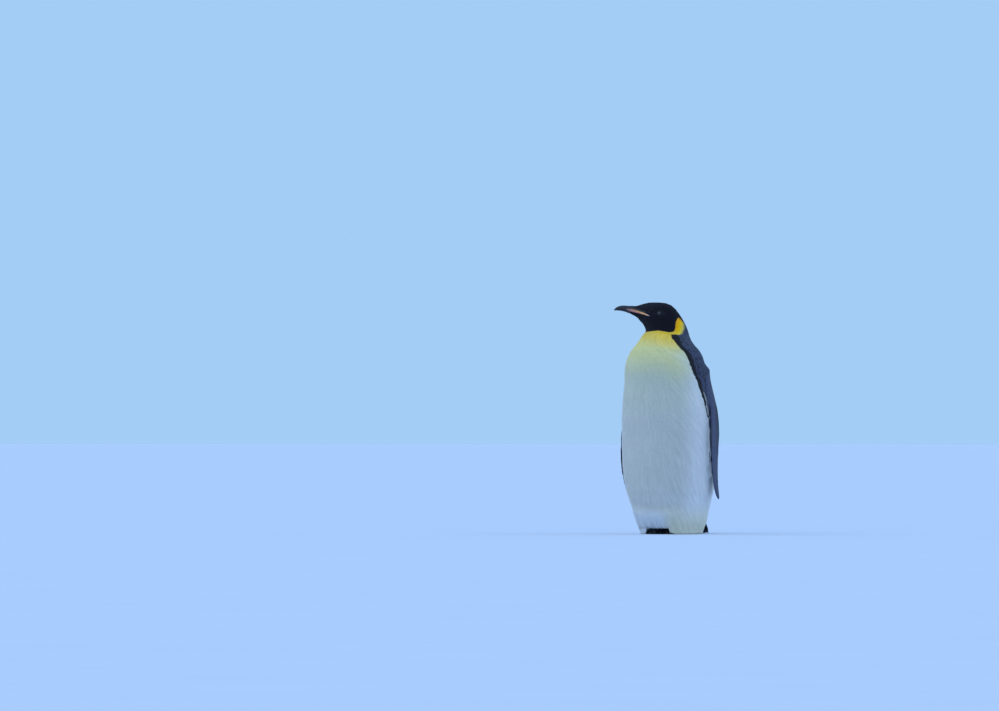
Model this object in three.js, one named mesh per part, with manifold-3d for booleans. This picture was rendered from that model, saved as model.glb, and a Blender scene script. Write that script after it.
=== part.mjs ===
// An emperor penguin, life size, standing at rest: the neck is drawn in, the flippers hang and
// the head is turned to the bird's right. Millimetres, +Z up, the floor at z = 0.
// The bird faces -Y and its left side is +X.
import * as THREE from "three";
import { mergeVertices } from "three/addons/utils/BufferGeometryUtils.js";
import Module from "manifold-3d";

const wasm = await Module();
wasm.setup();

// ---- driving dimensions ----

const gap = 0.3; // between parts that touch
const bodySegments = 30; // round the trunk, neck and head
const headTurn = THREE.MathUtils.degToRad(60); // from straight ahead to the bird's right
const neckHeight = 863; // where the head's fan of sections starts
const neckBase = 795; // between trunk and neck
const hingeAhead = 147; // the fan's hinge is this far in front of the trunk's middle, as the head faces,
const hingeAside = 21; // and this far to the head's left

// The trunk and neck, in level sections from the underside up: half the width, how far the front
// and back lie from the middle, where the middle is, and how far the section is turned to the head.
const bodySections = [
  { z: 34, half: 142, front: 125, back: 161, x: 0, y: 0, turn: 0 },
  { z: 52, half: 150, front: 136, back: 169, x: 0, y: 0, turn: 0 },
  { z: 80, half: 157.5, front: 149, back: 173, x: 0, y: 0, turn: 0 },
  { z: 110, half: 165.5, front: 159, back: 173, x: 0, y: 0, turn: 0 },
  { z: 146, half: 176, front: 175, back: 176, x: 0, y: 0, turn: 0 },
  { z: 202, half: 192, front: 195, back: 181, x: 0, y: 0, turn: 0 },
  { z: 300, half: 204, front: 206, back: 191, x: 0, y: 0, turn: 0 },
  { z: 415, half: 210, front: 204, back: 196, x: 0, y: 0, turn: 0 },
  { z: 500, half: 207, front: 206, back: 186, x: -1, y: -1, turn: 0 },
  { z: 570, half: 199, front: 204, back: 166, x: -2, y: -4, turn: 0 },
  { z: 640, half: 188, front: 199, back: 140, x: -3, y: -8, turn: 0 },
  { z: 700, half: 181, front: 200, back: 122, x: -4, y: -15, turn: 1 },
  { z: 745, half: 171, front: 190, back: 110, x: -5, y: -22, turn: 8 },
  { z: 790, half: 151, front: 160, back: 111, x: -6, y: -30, turn: 18 },
  { z: 826, half: 120, front: 121, back: 102, x: -6, y: -34, turn: 26 },
  { z: 863, half: 100.5, front: 89, back: 89, x: -6, y: -28, turn: 30 },
];

// The head, in a fan of sections that swings up from level about the hinge: the throat's and the
// crown's distance from it, and half the width.
const headFan = [
  { swing: 0, throat: 27, crown: 229, half: 88 },
  { swing: 7, throat: 36, crown: 222, half: 82 },
  { swing: 14, throat: 45, crown: 215, half: 76 },
  { swing: 24, throat: 45, crown: 207, half: 69 },
  { swing: 34, throat: 45, crown: 202, half: 63 },
  { swing: 43, throat: 47, crown: 193, half: 58 },
  { swing: 51, throat: 50, crown: 177, half: 53 },
  { swing: 59, throat: 53, crown: 161.5, half: 46 },
  { swing: 68, throat: 55.5, crown: 148.8, half: 38 },
  { swing: 76, throat: 60, crown: 137.2, half: 31 },
  { swing: 83, throat: 67, crown: 128.8, half: 26 },
  { swing: 90, throat: 74, crown: 123, half: 22 },
];

// The bill, in upright sections from the end of the fan to the hooked tip.
const billSections = [
  { out: 9, low: 942, high: 986.6, half: 18.5 },
  { out: 26, low: 950.8, high: 985.8, half: 14 },
  { out: 39, low: 957, high: 986.4, half: 12 },
  { out: 52, low: 961.2, high: 987.4, half: 10.5 },
  { out: 66, low: 964.2, high: 986.6, half: 8.8 },
  { out: 79, low: 965.8, high: 983.2, half: 6.8 },
  { out: 89, low: 966, high: 977.2, half: 4.6 },
  { out: 96.5, low: 965.4, high: 968.8, half: 1.6 },
];

// Where the bill's pieces part, as (out, height) on the head's own profile.
const mouthLine = [
  [84, 968], [66, 971], [51, 974.4], [19, 971.2], [-9, 963.6], [-35, 954.2], [-52, 945.6], [-60, 939],
];
const plateUnderEdge = [[-35, 947], [-9, 954], [11, 958.2], [31, 963.6]];
const plateProud = 1.2; // the bill plates stand this far out of the cheek
const plateDepth = 4;
const upperFeatherLine = [[-44, 957.4], [-20, 968], [14, 978.5], [8.6, 1000]];
const chinFeatherLine = [[28, 961], [36, 940]];

const eyeAt = { swing: 41.7, reach: 134, radius: 11, inset: 9.5 };

// The flippers: the middle line from shoulder to tip as the left one hangs, with the chord from
// leading to trailing edge, the thickness, and how far the trailing edge turns in to the back.
const flipperStations = [
  { x: 80, y: 38, z: 776, chord: 40, thick: 20, turnIn: 30 },
  { x: 128, y: 46, z: 728, chord: 92, thick: 55, turnIn: 30 },
  { x: 146, y: 36, z: 680, chord: 105, thick: 52, turnIn: 28 },
  { x: 169, y: 33, z: 620, chord: 97, thick: 42, turnIn: 25 },
  { x: 199, y: 26, z: 555, chord: 102, thick: 27, turnIn: 17 },
  { x: 213, y: 15, z: 490, chord: 109, thick: 17.5, turnIn: 11 },
  { x: 217, y: 8, z: 420, chord: 110, thick: 14.5, turnIn: 8 },
  { x: 217, y: 5, z: 350, chord: 93, thick: 12.5, turnIn: 8 },
  { x: 215, y: 11, z: 285, chord: 82, thick: 11, turnIn: 8 },
  { x: 213, y: 21.5, z: 225, chord: 67, thick: 9.5, turnIn: 8 },
  { x: 213, y: 34, z: 182, chord: 52, thick: 8, turnIn: 8 },
  { x: 214, y: 43, z: 156, chord: 34, thick: 6.5, turnIn: 8 },
  { x: 215, y: 48, z: 145, chord: 14, thick: 4.5, turnIn: 8 },
];
// How much further forward than the left flipper the right one hangs.
const rightFlipperForward = [
  { z: 776, by: 0 },
  { z: 620, by: -6 },
  { z: 490, by: -12 },
  { z: 400, by: -4 },
  { z: 285, by: 15 },
  { z: 145, by: 18 },
];
const flipperSegments = 16;

// The tail: stiff feathers in a flat wedge that props on the floor behind.
const tailSections = [
  { y: 122, z: 132, half: 62, thick: 50 },
  { y: 164, z: 94, half: 58, thick: 40 },
  { y: 206, z: 49, half: 50, thick: 50 },
  { y: 246, z: 18, half: 42, thick: 40 },
  { y: 276, z: 2.5, half: 40, thick: 13 },
];
const tailSegments = 20;
const tailTilt = THREE.MathUtils.degToRad(42); // of each section, square to the tail's slope

// The feathers of the legs and flanks, from under the trunk almost to the floor: how far each
// level lies inside the trunk's lower edge. They are open in front, over the toes.
const legSections = [
  { z: 29.7, inside: 1.5 },
  { z: 20, inside: 4 },
  { z: 10, inside: 7.5 },
  { z: 2, inside: 13 },
];
const legsApart = 2;
// The opening's edges, in degrees from straight ahead to the bird's left, and where they meet.
const openingRings = [
  { z: -5, right: -29, left: 52 },
  { z: 40, right: -18, left: 26 },
];
const openingDepth = 60; // behind the trunk's middle
const footAt = { x: 44, y: 14 };
const feetTurn = -2; // both feet, to the bird's left
const toes = [
  { turn: -13, length: 70, wide: 13.5 },
  { turn: 0, length: 94, wide: 15 },
  { turn: 13, length: 70, wide: 13 },
];
const toeSegments = 8;
const toeHeight = 24;
const footPad = { wide: 34, long: 46, high: 25 };
const webHigh = 9;
const webShort = 0.8; // the webs' front edge, as a share of the toes
const clawSegments = 8;
const claw = { length: 27, thick: 7, droop: 10 };

// ---- colours, as sRGB ----

const paint = (name, colour, roughness) =>
  Object.assign(new THREE.MeshStandardMaterial({ color: colour, roughness, metalness: 0 }), { name });
const finishes = {
  belly: paint("belly_feathers", 0xe9ecea, 0.9),
  throat: paint("breast_feathers", 0xe2cf5a, 0.9),
  head: paint("head_feathers", 0x17171f, 0.85),
  back: paint("back_feathers", 0x4c5468, 0.85),
  tail: paint("tail_feathers", 0x1c1e28, 0.8),
  bill: paint("bill_horn", 0x1b1c24, 0.4),
  plate: paint("bill_plate", 0xd9976f, 0.4),
  eye: paint("eye", 0x24140d, 0.1),
  foot: paint("foot_skin", 0x1d1c20, 0.6),
  claw: paint("claw_horn", 0x141316, 0.4),
};

// ---- shaping helpers ----

const up = new THREE.Vector3(0, 0, 1);
const backward = new THREE.Vector3(Math.sin(headTurn), Math.cos(headTurn), 0); // behind the turned head
const headLeft = new THREE.Vector3(Math.cos(headTurn), -Math.sin(headTurn), 0);
const hinge = backward
  .clone()
  .multiplyScalar(-hingeAhead)
  .addScaledVector(headLeft, hingeAside)
  .setZ(neckHeight);

// A smooth curve through one property of a list of stations, against another.
function curveOf(stations, along, property) {
  const sorted = [...stations].sort((p, q) => p[along] - q[along]);
  const places = sorted.map((s) => s[along]);
  const values = sorted.map((s) => s[property]);
  const curve = new THREE.CubicInterpolant(places, values, 1);
  return (place) => curve.evaluate(THREE.MathUtils.clamp(place, places[0], places.at(-1)))[0];
}

// How far a rounded oval reaches at an angle; fullness 2 is an ellipse.
function ovalReach(halfAcross, halfAlong, angle, fullness = 2.1) {
  const across = Math.abs(Math.cos(angle) / halfAcross) ** fullness;
  const along = Math.abs(Math.sin(angle) / halfAlong) ** fullness;
  return (across + along) ** (-1 / fullness);
}

// A closed geometry from rings of points, with a flat fan over each end ring.
function loft(rings) {
  const n = rings[0].length;
  const middles = [rings[0], rings.at(-1)].map((ring) =>
    ring.reduce((sum, p) => sum.add(p), new THREE.Vector3()).divideScalar(n),
  );
  const points = [...rings.flat(), ...middles];
  const faces = [];
  const firstMiddle = rings.length * n;
  for (let i = 0; i < n; i++) {
    const next = (i + 1) % n;
    faces.push([firstMiddle, next, i]);
    const last = (rings.length - 1) * n;
    faces.push([firstMiddle + 1, last + i, last + next]);
    for (let r = 0; r + 1 < rings.length; r++) {
      const low = r * n;
      const high = low + n;
      faces.push([low + i, low + next, high + i], [low + next, high + next, high + i]);
    }
  }
  const volume = faces.reduce((sum, [a, b, c]) => {
    const cross = new THREE.Vector3().crossVectors(points[b], points[c]);
    return sum + points[a].dot(cross);
  }, 0);
  const outward = volume > 0 ? faces : faces.map(([a, b, c]) => [a, c, b]);
  return new THREE.BufferGeometry().setFromPoints(points).setIndex(outward.flat());
}

function solidOf(geometry) {
  const plain = geometry.clone();
  plain.deleteAttribute("normal");
  plain.deleteAttribute("uv");
  const merged = mergeVertices(plain, 1e-3);
  const { Manifold, Mesh } = wasm;
  return new Manifold(
    new Mesh({
      numProp: 3,
      vertProperties: merged.attributes.position.array,
      triVerts: new Uint32Array(merged.index.array),
    }),
  );
}

const solidLoft = (rings) => solidOf(loft(rings));

function boxSolid(width, depth, height, x, y, z) {
  return solidOf(new THREE.BoxGeometry(width, depth, height).translate(x, y, z));
}

// The largest piece of a cut solid, without the crumbs a cut can leave.
function mainPiece(solid) {
  return solid.decompose().sort((p, q) => q.volume() - p.volume())[0];
}

const upTo = (count) => [...Array(count).keys()];
const ringAngles = upTo(bodySegments).map((i) => (i / bodySegments) * 2 * Math.PI);

// ---- trunk and neck ----

const body = Object.fromEntries(
  ["half", "front", "back", "x", "y", "turn"].map((key) => [key, curveOf(bodySections, "z", key)]),
);

function bodyRing(z, grow = 0, shrink = 1) {
  const turn = THREE.MathUtils.degToRad(body.turn(z));
  return ringAngles.map((angle) => {
    const local = angle - turn;
    const along = Math.sin(local) < 0 ? body.front(z) : body.back(z);
    const reach = (ovalReach(body.half(z), along, local) + grow) * shrink;
    return new THREE.Vector3(body.x(z) + reach * Math.cos(angle), body.y(z) + reach * Math.sin(angle), z);
  });
}

// Level rings between two heights, closer together where the outline bends more.
function bodyRings(low, high, grow = 0) {
  const steps = [34, 44, 60, 82, 112, 146, 190, 240, 300, 365, 430, 490, 540, 585, 625, 660, 690, 716, 742,
    768, 795, 812, 828, 846, 863];
  const inside = steps.filter((z) => z > low + 4 && z < high - 4);
  return [low, ...inside, high].map((z) => bodyRing(z, grow));
}

const trunkLow = bodySections[0].z;
function trunkSolid(grow = 0) {
  const tucked = [
    bodyRing(trunkLow, grow - 14).map((p) => p.setZ(trunkLow - 4 - grow)),
    bodyRing(trunkLow, grow - 5).map((p) => p.setZ(trunkLow - 1 - grow)),
  ];
  return solidLoft([...tucked, ...bodyRings(trunkLow + 4, neckBase - gap / 2 + grow, grow)]);
}

// ---- head and bill, as one form that the parts are cut from ----

const fan = Object.fromEntries(
  ["throat", "crown", "half"].map((key) => [key, curveOf(headFan, "swing", key)]),
);

function ovalRing(middle, alongAxis, halfAlong, halfAcross) {
  return ringAngles.map((angle) => {
    const local = Math.PI / 2 - headTurn - angle;
    const reach = ovalReach(halfAlong, halfAcross, local);
    return middle
      .clone()
      .addScaledVector(alongAxis, reach * Math.cos(local))
      .addScaledVector(headLeft, reach * Math.sin(local));
  });
}

function fanRing(swing, grow = 0) {
  const angle = THREE.MathUtils.degToRad(swing);
  const axis = backward.clone().multiplyScalar(Math.cos(angle)).addScaledVector(up, Math.sin(angle));
  const middle = hinge.clone().addScaledVector(axis, (fan.throat(swing) + fan.crown(swing)) / 2);
  return ovalRing(middle, axis, (fan.crown(swing) - fan.throat(swing)) / 2 + grow, fan.half(swing) + grow);
}

function billRing({ out, low, high, half }, grow = 0) {
  const middle = hinge.clone().addScaledVector(backward, -out).setZ((low + high) / 2);
  return ovalRing(middle, up, (high - low) / 2 + grow, half + grow);
}

const fanSwings = [0, 6, 12, 19, 26, 33, 40, 47, 54, 61, 68, 76, 83, 90];
function headForm(grow = 0) {
  const rings = fanSwings.map((swing) => fanRing(swing, grow));
  return solidLoft([...rings, ...billSections.map((section) => billRing(section, grow))]);
}

// A slab through the head with the given outline on its profile.
function profileSlab(outline, halfWidth = 130) {
  const shape = new THREE.Shape(outline.map(([out, z]) => new THREE.Vector2(out, z)));
  const slab = new THREE.ExtrudeGeometry(shape, { depth: 2 * halfWidth, bevelEnabled: false });
  slab.translate(0, 0, -halfWidth);
  const toHead = new THREE.Matrix4().makeBasis(
    backward.clone().negate(),
    up,
    headLeft.clone().negate(),
  );
  toHead.setPosition(hinge.x, hinge.y, 0);
  return solidOf(slab.applyMatrix4(toHead));
}

// The same outline with its edges moved out by a distance.
function spread(outline, by) {
  const points = outline.map(([x, y]) => new THREE.Vector2(x, y));
  const out = by * Math.sign(THREE.ShapeUtils.area(points));
  return points.map((point, i) => {
    const before = point.clone().sub(points.at(i - 1)).normalize();
    const after = points[(i + 1) % points.length].clone().sub(point).normalize();
    const normal = new THREE.Vector2(before.y + after.y, -before.x - after.x).normalize();
    const share = Math.max(0.4, normal.x * before.y - normal.y * before.x);
    return [point.x + (out * normal.x) / share, point.y + (out * normal.y) / share];
  });
}

const upperOutline = [...mouthLine.slice(0, 6), ...upperFeatherLine, [140, 1000], [140, 967]];
const lowerOutline = [...mouthLine.slice(0, 4), [19, 966], ...chinFeatherLine, [140, 940], [140, 967.6]];
const plateOutline = [...mouthLine.slice(2), ...plateUnderEdge];

const wholeHead = headForm();
const [upperRoom, lowerRoom, plateRoom] = [upperOutline, lowerOutline, plateOutline].map((outline) =>
  profileSlab(spread(outline, gap)),
);
const platesCut = headForm(plateProud + 1).subtract(headForm(-plateDepth - gap)).intersect(plateRoom);
const plates = headForm(plateProud).subtract(headForm(-plateDepth)).intersect(profileSlab(plateOutline));
const billUpper = wholeHead.intersect(profileSlab(upperOutline)).subtract(lowerRoom).subtract(plateRoom);
const billLower = wholeHead.intersect(profileSlab(lowerOutline)).subtract(platesCut);

function sideHalf(solid, side) {
  const middle = hinge.clone().setZ(960).addScaledVector(headLeft, side * (100 + gap));
  const slab = new THREE.BoxGeometry(600, 200, 300);
  slab.rotateZ(Math.PI / 2 - headTurn).translate(middle.x, middle.y, middle.z);
  return mainPiece(solid.intersect(solidOf(slab)));
}

function eyeMiddle(side) {
  const angle = THREE.MathUtils.degToRad(eyeAt.swing);
  const axis = backward.clone().multiplyScalar(Math.cos(angle)).addScaledVector(up, Math.sin(angle));
  const out = fan.half(eyeAt.swing) - eyeAt.inset;
  return hinge.clone().addScaledVector(axis, eyeAt.reach).addScaledVector(headLeft, side * out);
}

function eyeSolid(side, grow = 0) {
  const ball = new THREE.SphereGeometry(eyeAt.radius + grow, 14, 8);
  const middle = eyeMiddle(side);
  return solidOf(ball.translate(middle.x, middle.y, middle.z));
}

// ---- flippers ----

const flipper = Object.fromEntries(
  ["x", "y", "chord", "thick", "turnIn"].map((key) => [key, curveOf(flipperStations, "z", key)]),
);
const flipperHeights = [776, 748, 712, 670, 630, 590, 545, 490, 430, 370, 315, 265, 222, 184, 162, 145];

const rightForward = curveOf(rightFlipperForward, "z", "by");

function flipperSolid(side) {
  const rings = flipperHeights.map((z) => {
    const turn = THREE.MathUtils.degToRad(flipper.turnIn(z));
    const chordAxis = new THREE.Vector3(-side * Math.sin(turn), Math.cos(turn), 0); // to the trailing edge
    const outAxis = new THREE.Vector3(side * Math.cos(turn), Math.sin(turn), 0);
    return upTo(flipperSegments).map((i) => {
      const angle = (i / flipperSegments) * 2 * Math.PI;
      const fullEdge = 1 - 0.35 * Math.cos(angle); // thicker at the leading edge
      return new THREE.Vector3(side * flipper.x(z), flipper.y(z) - (side < 0 ? rightForward(z) : 0), z)
        .addScaledVector(chordAxis, (flipper.chord(z) / 2) * Math.cos(angle))
        .addScaledVector(outAxis, (flipper.thick(z) / 2) * fullEdge * Math.sin(angle));
    });
  });
  return solidLoft(rings);
}

// ---- tail, legs and feet ----

const aboveFloor = boxSolid(1000, 1000, 1000, 0, 0, 500);

function tailSolid() {
  const rings = tailSections.map(({ y, z, half, thick }) =>
    upTo(tailSegments).map((i) => {
      const angle = (i / tailSegments) * 2 * Math.PI;
      const reach = ovalReach(half, thick / 2, angle, 2.6);
      return new THREE.Vector3(
        reach * Math.cos(angle),
        y + reach * Math.sin(angle) * Math.sin(tailTilt),
        z + reach * Math.sin(angle) * Math.cos(tailTilt),
      );
    }),
  );
  return solidLoft(rings).intersect(aboveFloor);
}

function openingSolid() {
  const rings = openingRings.map(({ z, right, left }) => {
    const meeting = new THREE.Vector3(0, openingDepth, z);
    const edges = [right, (right + left) / 2, left].map((degrees) => {
      const angle = THREE.MathUtils.degToRad(degrees);
      const onEdge = new THREE.Vector3(Math.sin(angle), -Math.cos(angle), 0).multiplyScalar(body.front(trunkLow));
      return onEdge.setZ(z).lerp(meeting, -1);
    });
    return [meeting, ...edges];
  });
  return solidLoft(rings);
}

function legSolid(side) {
  const both = solidLoft(
    legSections.map(({ z, inside }) => bodyRing(trunkLow, -inside).map((p) => p.setZ(z))),
  );
  const half = boxSolid(500, 1000, 200, side * (250 + legsApart / 2), 0, 0);
  return both.intersect(half).subtract(openingSolid());
}

// A toe lies along -Y from the foot's middle, flat underneath, with a knuckle before the claw.
const toeStations = [
  { share: -0.15, high: 0.95, wide: 0.9 },
  { share: 0.15, high: 1.1, wide: 1.05 },
  { share: 0.45, high: 0.82, wide: 0.88 },
  { share: 0.62, high: 0.9, wide: 1 },
  { share: 0.78, high: 0.76, wide: 0.86 },
  { share: 0.9, high: 0.84, wide: 0.98 },
  { share: 1, high: 0.5, wide: 0.6 },
];

function toeSolid({ turn, length, wide }) {
  const rings = toeStations.map((station) =>
    upTo(toeSegments).map((i) => {
      const angle = (i / toeSegments) * 2 * Math.PI;
      return new THREE.Vector3(
        wide * station.wide * Math.cos(angle),
        -length * station.share,
        toeHeight * station.high * (0.42 + 0.58 * Math.sin(angle)),
      );
    }),
  );
  return solidLoft(rings).rotate([0, 0, turn]);
}

function clawSolid({ turn, length }, grow = 0) {
  const steps = [-0.25, 0, 0.3, 0.6, 0.85, 1];
  const rings = steps.map((share) => {
    const taper = Math.sqrt(Math.max(0.03, 1 - Math.max(0, share) ** 1.6));
    const middleHigh = 11 + 3 * Math.sin(Math.PI * Math.max(0, share)) - claw.droop * Math.max(0, share) ** 2;
    return upTo(clawSegments).map((i) => {
      const angle = (i / clawSegments) * 2 * Math.PI;
      const reach = claw.thick * taper + grow;
      return new THREE.Vector3(
        0.8 * reach * Math.cos(angle),
        -length * 0.95 - claw.length * share,
        middleHigh + reach * Math.sin(angle),
      );
    });
  });
  return solidLoft(rings).rotate([0, 0, turn]).intersect(aboveFloor);
}

function webSolid() {
  const tips = toes.map(({ turn, length }) => {
    const angle = THREE.MathUtils.degToRad(turn);
    return new THREE.Vector2(Math.sin(angle), -Math.cos(angle)).multiplyScalar(length * webShort);
  });
  const hollow = (p, q) => p.clone().add(q).multiplyScalar(0.46);
  const outline = [new THREE.Vector2(0, 10), tips[0], hollow(tips[0], tips[1]), tips[1],
    hollow(tips[1], tips[2]), tips[2]];
  const web = new THREE.ExtrudeGeometry(new THREE.Shape(outline), { depth: webHigh, bevelEnabled: false });
  return solidOf(web.translate(0, 0, 2));
}

function padSolid() {
  const pad = new THREE.SphereGeometry(1, 14, 7).scale(footPad.wide, footPad.long, footPad.high);
  return solidOf(pad.translate(0, 4, 4));
}

// The space that the leg's feathers leave for the foot: round behind the pad, and open in front.
function footRoom() {
  const behind = upTo(9).map((i) => {
    const angle = (i / 8) * Math.PI;
    return new THREE.Vector2((footPad.wide + 1) * Math.cos(angle), 4 + (footPad.long + 1) * Math.sin(angle));
  });
  const front = toes.map(({ turn, length, wide }) => {
    const angle = THREE.MathUtils.degToRad(turn);
    const aside = Math.sign(turn) * (wide + 3);
    const ahead = length + claw.length + 3;
    return new THREE.Vector2(
      ahead * Math.sin(angle) + aside * Math.cos(angle),
      -ahead * Math.cos(angle) + aside * Math.sin(angle),
    );
  });
  const room = new THREE.ExtrudeGeometry(new THREE.Shape([...behind, ...front]), {
    depth: 40,
    bevelEnabled: false,
  });
  return solidOf(room.translate(0, 0, -5));
}

// Stands a piece of one foot in its place.
function placeFoot(solid, side) {
  return solid.rotate([0, 0, feetTurn]).translate([side * footAt.x, footAt.y, 0]);
}

function footSolid(side) {
  const parts = [padSolid(), webSolid(), ...toes.map(toeSolid)].map((part) => part.intersect(aboveFloor));
  return placeFoot(parts.reduce((whole, part) => whole.add(part)), side);
}

// ---- assembly ----

const group = new THREE.Group();

function addPart(name, solid, finish) {
  const { vertProperties, triVerts } = solid.getMesh();
  const geometry = new THREE.BufferGeometry()
    .setAttribute("position", new THREE.BufferAttribute(vertProperties, 3))
    .setIndex(new THREE.BufferAttribute(triVerts, 1));
  geometry.computeVertexNormals();
  const mesh = new THREE.Mesh(geometry, finish);
  mesh.name = name;
  group.add(mesh);
}

const trunk = trunkSolid();
const grownTrunk = trunkSolid(gap);
addPart("trunk", trunk, finishes.belly);
addPart("neck", solidLoft(bodyRings(neckBase + gap / 2, neckHeight - gap)), finishes.throat);

const eyeSockets = [1, -1].map((side) => eyeSolid(side, gap));
const head = [upperRoom, lowerRoom, platesCut, ...eyeSockets].reduce(
  (whole, cutter) => whole.subtract(cutter),
  wholeHead,
);
addPart("head", mainPiece(head), finishes.head);
addPart("bill_upper", mainPiece(billUpper), finishes.bill);
addPart("bill_lower", mainPiece(billLower), finishes.bill);
for (const [name, side] of [["left", 1], ["right", -1]]) {
  addPart(`bill_plate_${name}`, sideHalf(plates, side), finishes.plate);
  addPart(`eye_${name}`, eyeSolid(side), finishes.eye);
  addPart(`flipper_${name}`, mainPiece(flipperSolid(side).subtract(grownTrunk)), finishes.back);
  const foot = footSolid(side);
  const claws = toes.map((toe) => placeFoot(clawSolid(toe), side));
  const clawRoom = toes.map((toe) => placeFoot(clawSolid(toe, gap), side));
  const barefoot = clawRoom.reduce((whole, room) => whole.subtract(room), foot);
  addPart(`foot_${name}`, mainPiece(barefoot), finishes.foot);
  claws.forEach((solid, i) => addPart(`claw_${name}_${i + 1}`, solid, finishes.claw));
  addPart(`leg_${name}`, mainPiece(legSolid(side).subtract(placeFoot(footRoom(), side))), finishes.belly);
}
addPart("tail", mainPiece(tailSolid().subtract(grownTrunk)), finishes.tail);

// The origin is on the floor, at the middle of the whole bird.
const middle = new THREE.Box3().setFromObject(group).getCenter(new THREE.Vector3());
group.position.set(-middle.x, -middle.y, 0);

export default group;
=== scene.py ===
import math

import bmesh
import bpy
import numpy as np
from mathutils import Matrix, Vector
from mathutils.bvhtree import BVHTree


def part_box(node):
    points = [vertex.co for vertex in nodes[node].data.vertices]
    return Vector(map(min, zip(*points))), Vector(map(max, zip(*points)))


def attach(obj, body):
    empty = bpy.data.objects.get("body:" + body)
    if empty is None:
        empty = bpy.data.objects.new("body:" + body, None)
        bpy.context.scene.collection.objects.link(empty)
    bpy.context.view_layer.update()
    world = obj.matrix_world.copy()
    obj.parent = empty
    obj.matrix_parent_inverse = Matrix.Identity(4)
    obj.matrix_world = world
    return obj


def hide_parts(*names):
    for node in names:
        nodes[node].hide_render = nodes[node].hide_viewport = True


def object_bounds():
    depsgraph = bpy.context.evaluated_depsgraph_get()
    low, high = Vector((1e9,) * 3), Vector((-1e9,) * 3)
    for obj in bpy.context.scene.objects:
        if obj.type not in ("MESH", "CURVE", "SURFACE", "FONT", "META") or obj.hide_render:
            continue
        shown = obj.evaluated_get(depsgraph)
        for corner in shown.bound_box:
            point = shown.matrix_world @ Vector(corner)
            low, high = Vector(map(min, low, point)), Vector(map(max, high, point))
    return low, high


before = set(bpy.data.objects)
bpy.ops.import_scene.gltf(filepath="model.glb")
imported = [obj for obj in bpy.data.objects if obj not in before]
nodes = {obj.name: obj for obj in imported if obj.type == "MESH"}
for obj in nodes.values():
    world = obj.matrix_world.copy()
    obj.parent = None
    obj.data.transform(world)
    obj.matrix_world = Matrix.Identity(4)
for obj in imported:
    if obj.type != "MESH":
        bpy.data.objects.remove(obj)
cadLow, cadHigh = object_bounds()
print("frame loaded,", len(nodes), "nodes")

# The bird stands on the origin's plane, breast towards -Y; its own upright axis is a little behind.
trunkLow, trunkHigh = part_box("trunk")
tall = cadHigh.z
axisPoint = np.array([0.0, trunkHigh.y - 0.195, 0.0])
headTurn = math.radians(60)
backward = np.array([math.sin(headTurn), math.cos(headTurn), 0.0])  # along the head, bill to nape
headLeft = np.array([math.cos(headTurn), -math.sin(headTurn), 0.0])
headAside = 0.021  # the head's own plane stands this far to the head's left of the axis
mm = 0.001


# ---- small tools for arrays -------------------------------------------------------------------

def rise(x, low, high):
    t = np.clip((x - low) / (high - low), 0, 1)
    return t * t * (3 - 2 * t)


def along(x, pairs):
    places, values = zip(*sorted(pairs))
    return np.interp(x, places, values)


def mixed(a, b, share):
    share = np.asarray(share)[:, None]
    return np.asarray(a) * (1 - share) + np.asarray(b) * share


def unit(v):
    return v / np.maximum(np.linalg.norm(v, axis=1, keepdims=True), 1e-9)


def ripple(points, size, seed=0):
    rng = np.random.default_rng(seed)
    total = np.zeros(len(points))
    for _ in range(6):
        way = rng.normal(size=3)
        way = way / np.linalg.norm(way) * rng.uniform(0.6, 1.5) * 2 * math.pi / size
        total += np.sin(points @ way + rng.uniform(0, 6.28))
    return total / 6


def grain(a, b, seed):
    table = np.random.default_rng(seed).uniform(-1, 1, (256, 256))
    ia, ib = np.floor(a).astype(int), np.floor(b).astype(int)
    fa, fb = a - ia, b - ib
    fa, fb = fa * fa * (3 - 2 * fa), fb * fb * (3 - 2 * fb)
    low = table[ia % 256, ib % 256] * (1 - fa) + table[(ia + 1) % 256, ib % 256] * fa
    high = table[ia % 256, (ib + 1) % 256] * (1 - fa) + table[(ia + 1) % 256, (ib + 1) % 256] * fa
    return low * (1 - fb) + high * fb


def coordsOf(mesh):
    flat = np.empty(len(mesh.vertices) * 3, np.float32)
    mesh.vertices.foreach_get("co", flat)
    return flat.reshape(-1, 3).astype(float)


def normalsOf(mesh):
    flat = np.empty(len(mesh.vertices) * 3, np.float32)
    mesh.vertices.foreach_get("normal", flat)
    return flat.reshape(-1, 3).astype(float)


def setCoords(mesh, points):
    mesh.vertices.foreach_set("co", np.ascontiguousarray(points, np.float32).ravel())
    mesh.update()


def setVector(mesh, name, values):
    layer = mesh.attributes.new(name, "FLOAT_VECTOR", "POINT")
    layer.data.foreach_set("vector", np.ascontiguousarray(values, np.float32).ravel())


def setFloat(mesh, name, values):
    layer = mesh.attributes.new(name, "FLOAT", "POINT")
    layer.data.foreach_set("value", np.ascontiguousarray(values, np.float32))


def setColour(mesh, name, values):
    layer = mesh.attributes.new(name, "FLOAT_COLOR", "POINT")
    rgba = np.ones((len(values), 4), np.float32)
    rgba[:, :3] = values
    layer.data.foreach_set("color", rgba.ravel())


def getVector(mesh, name):
    flat = np.empty(len(mesh.vertices) * 3, np.float32)
    mesh.attributes[name].data.foreach_get("vector", flat)
    return flat.reshape(-1, 3).astype(float)


def edgesOf(mesh):
    flat = np.empty(len(mesh.edges) * 2, np.int32)
    mesh.edges.foreach_get("vertices", flat)
    return flat.reshape(-1, 2)


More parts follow.
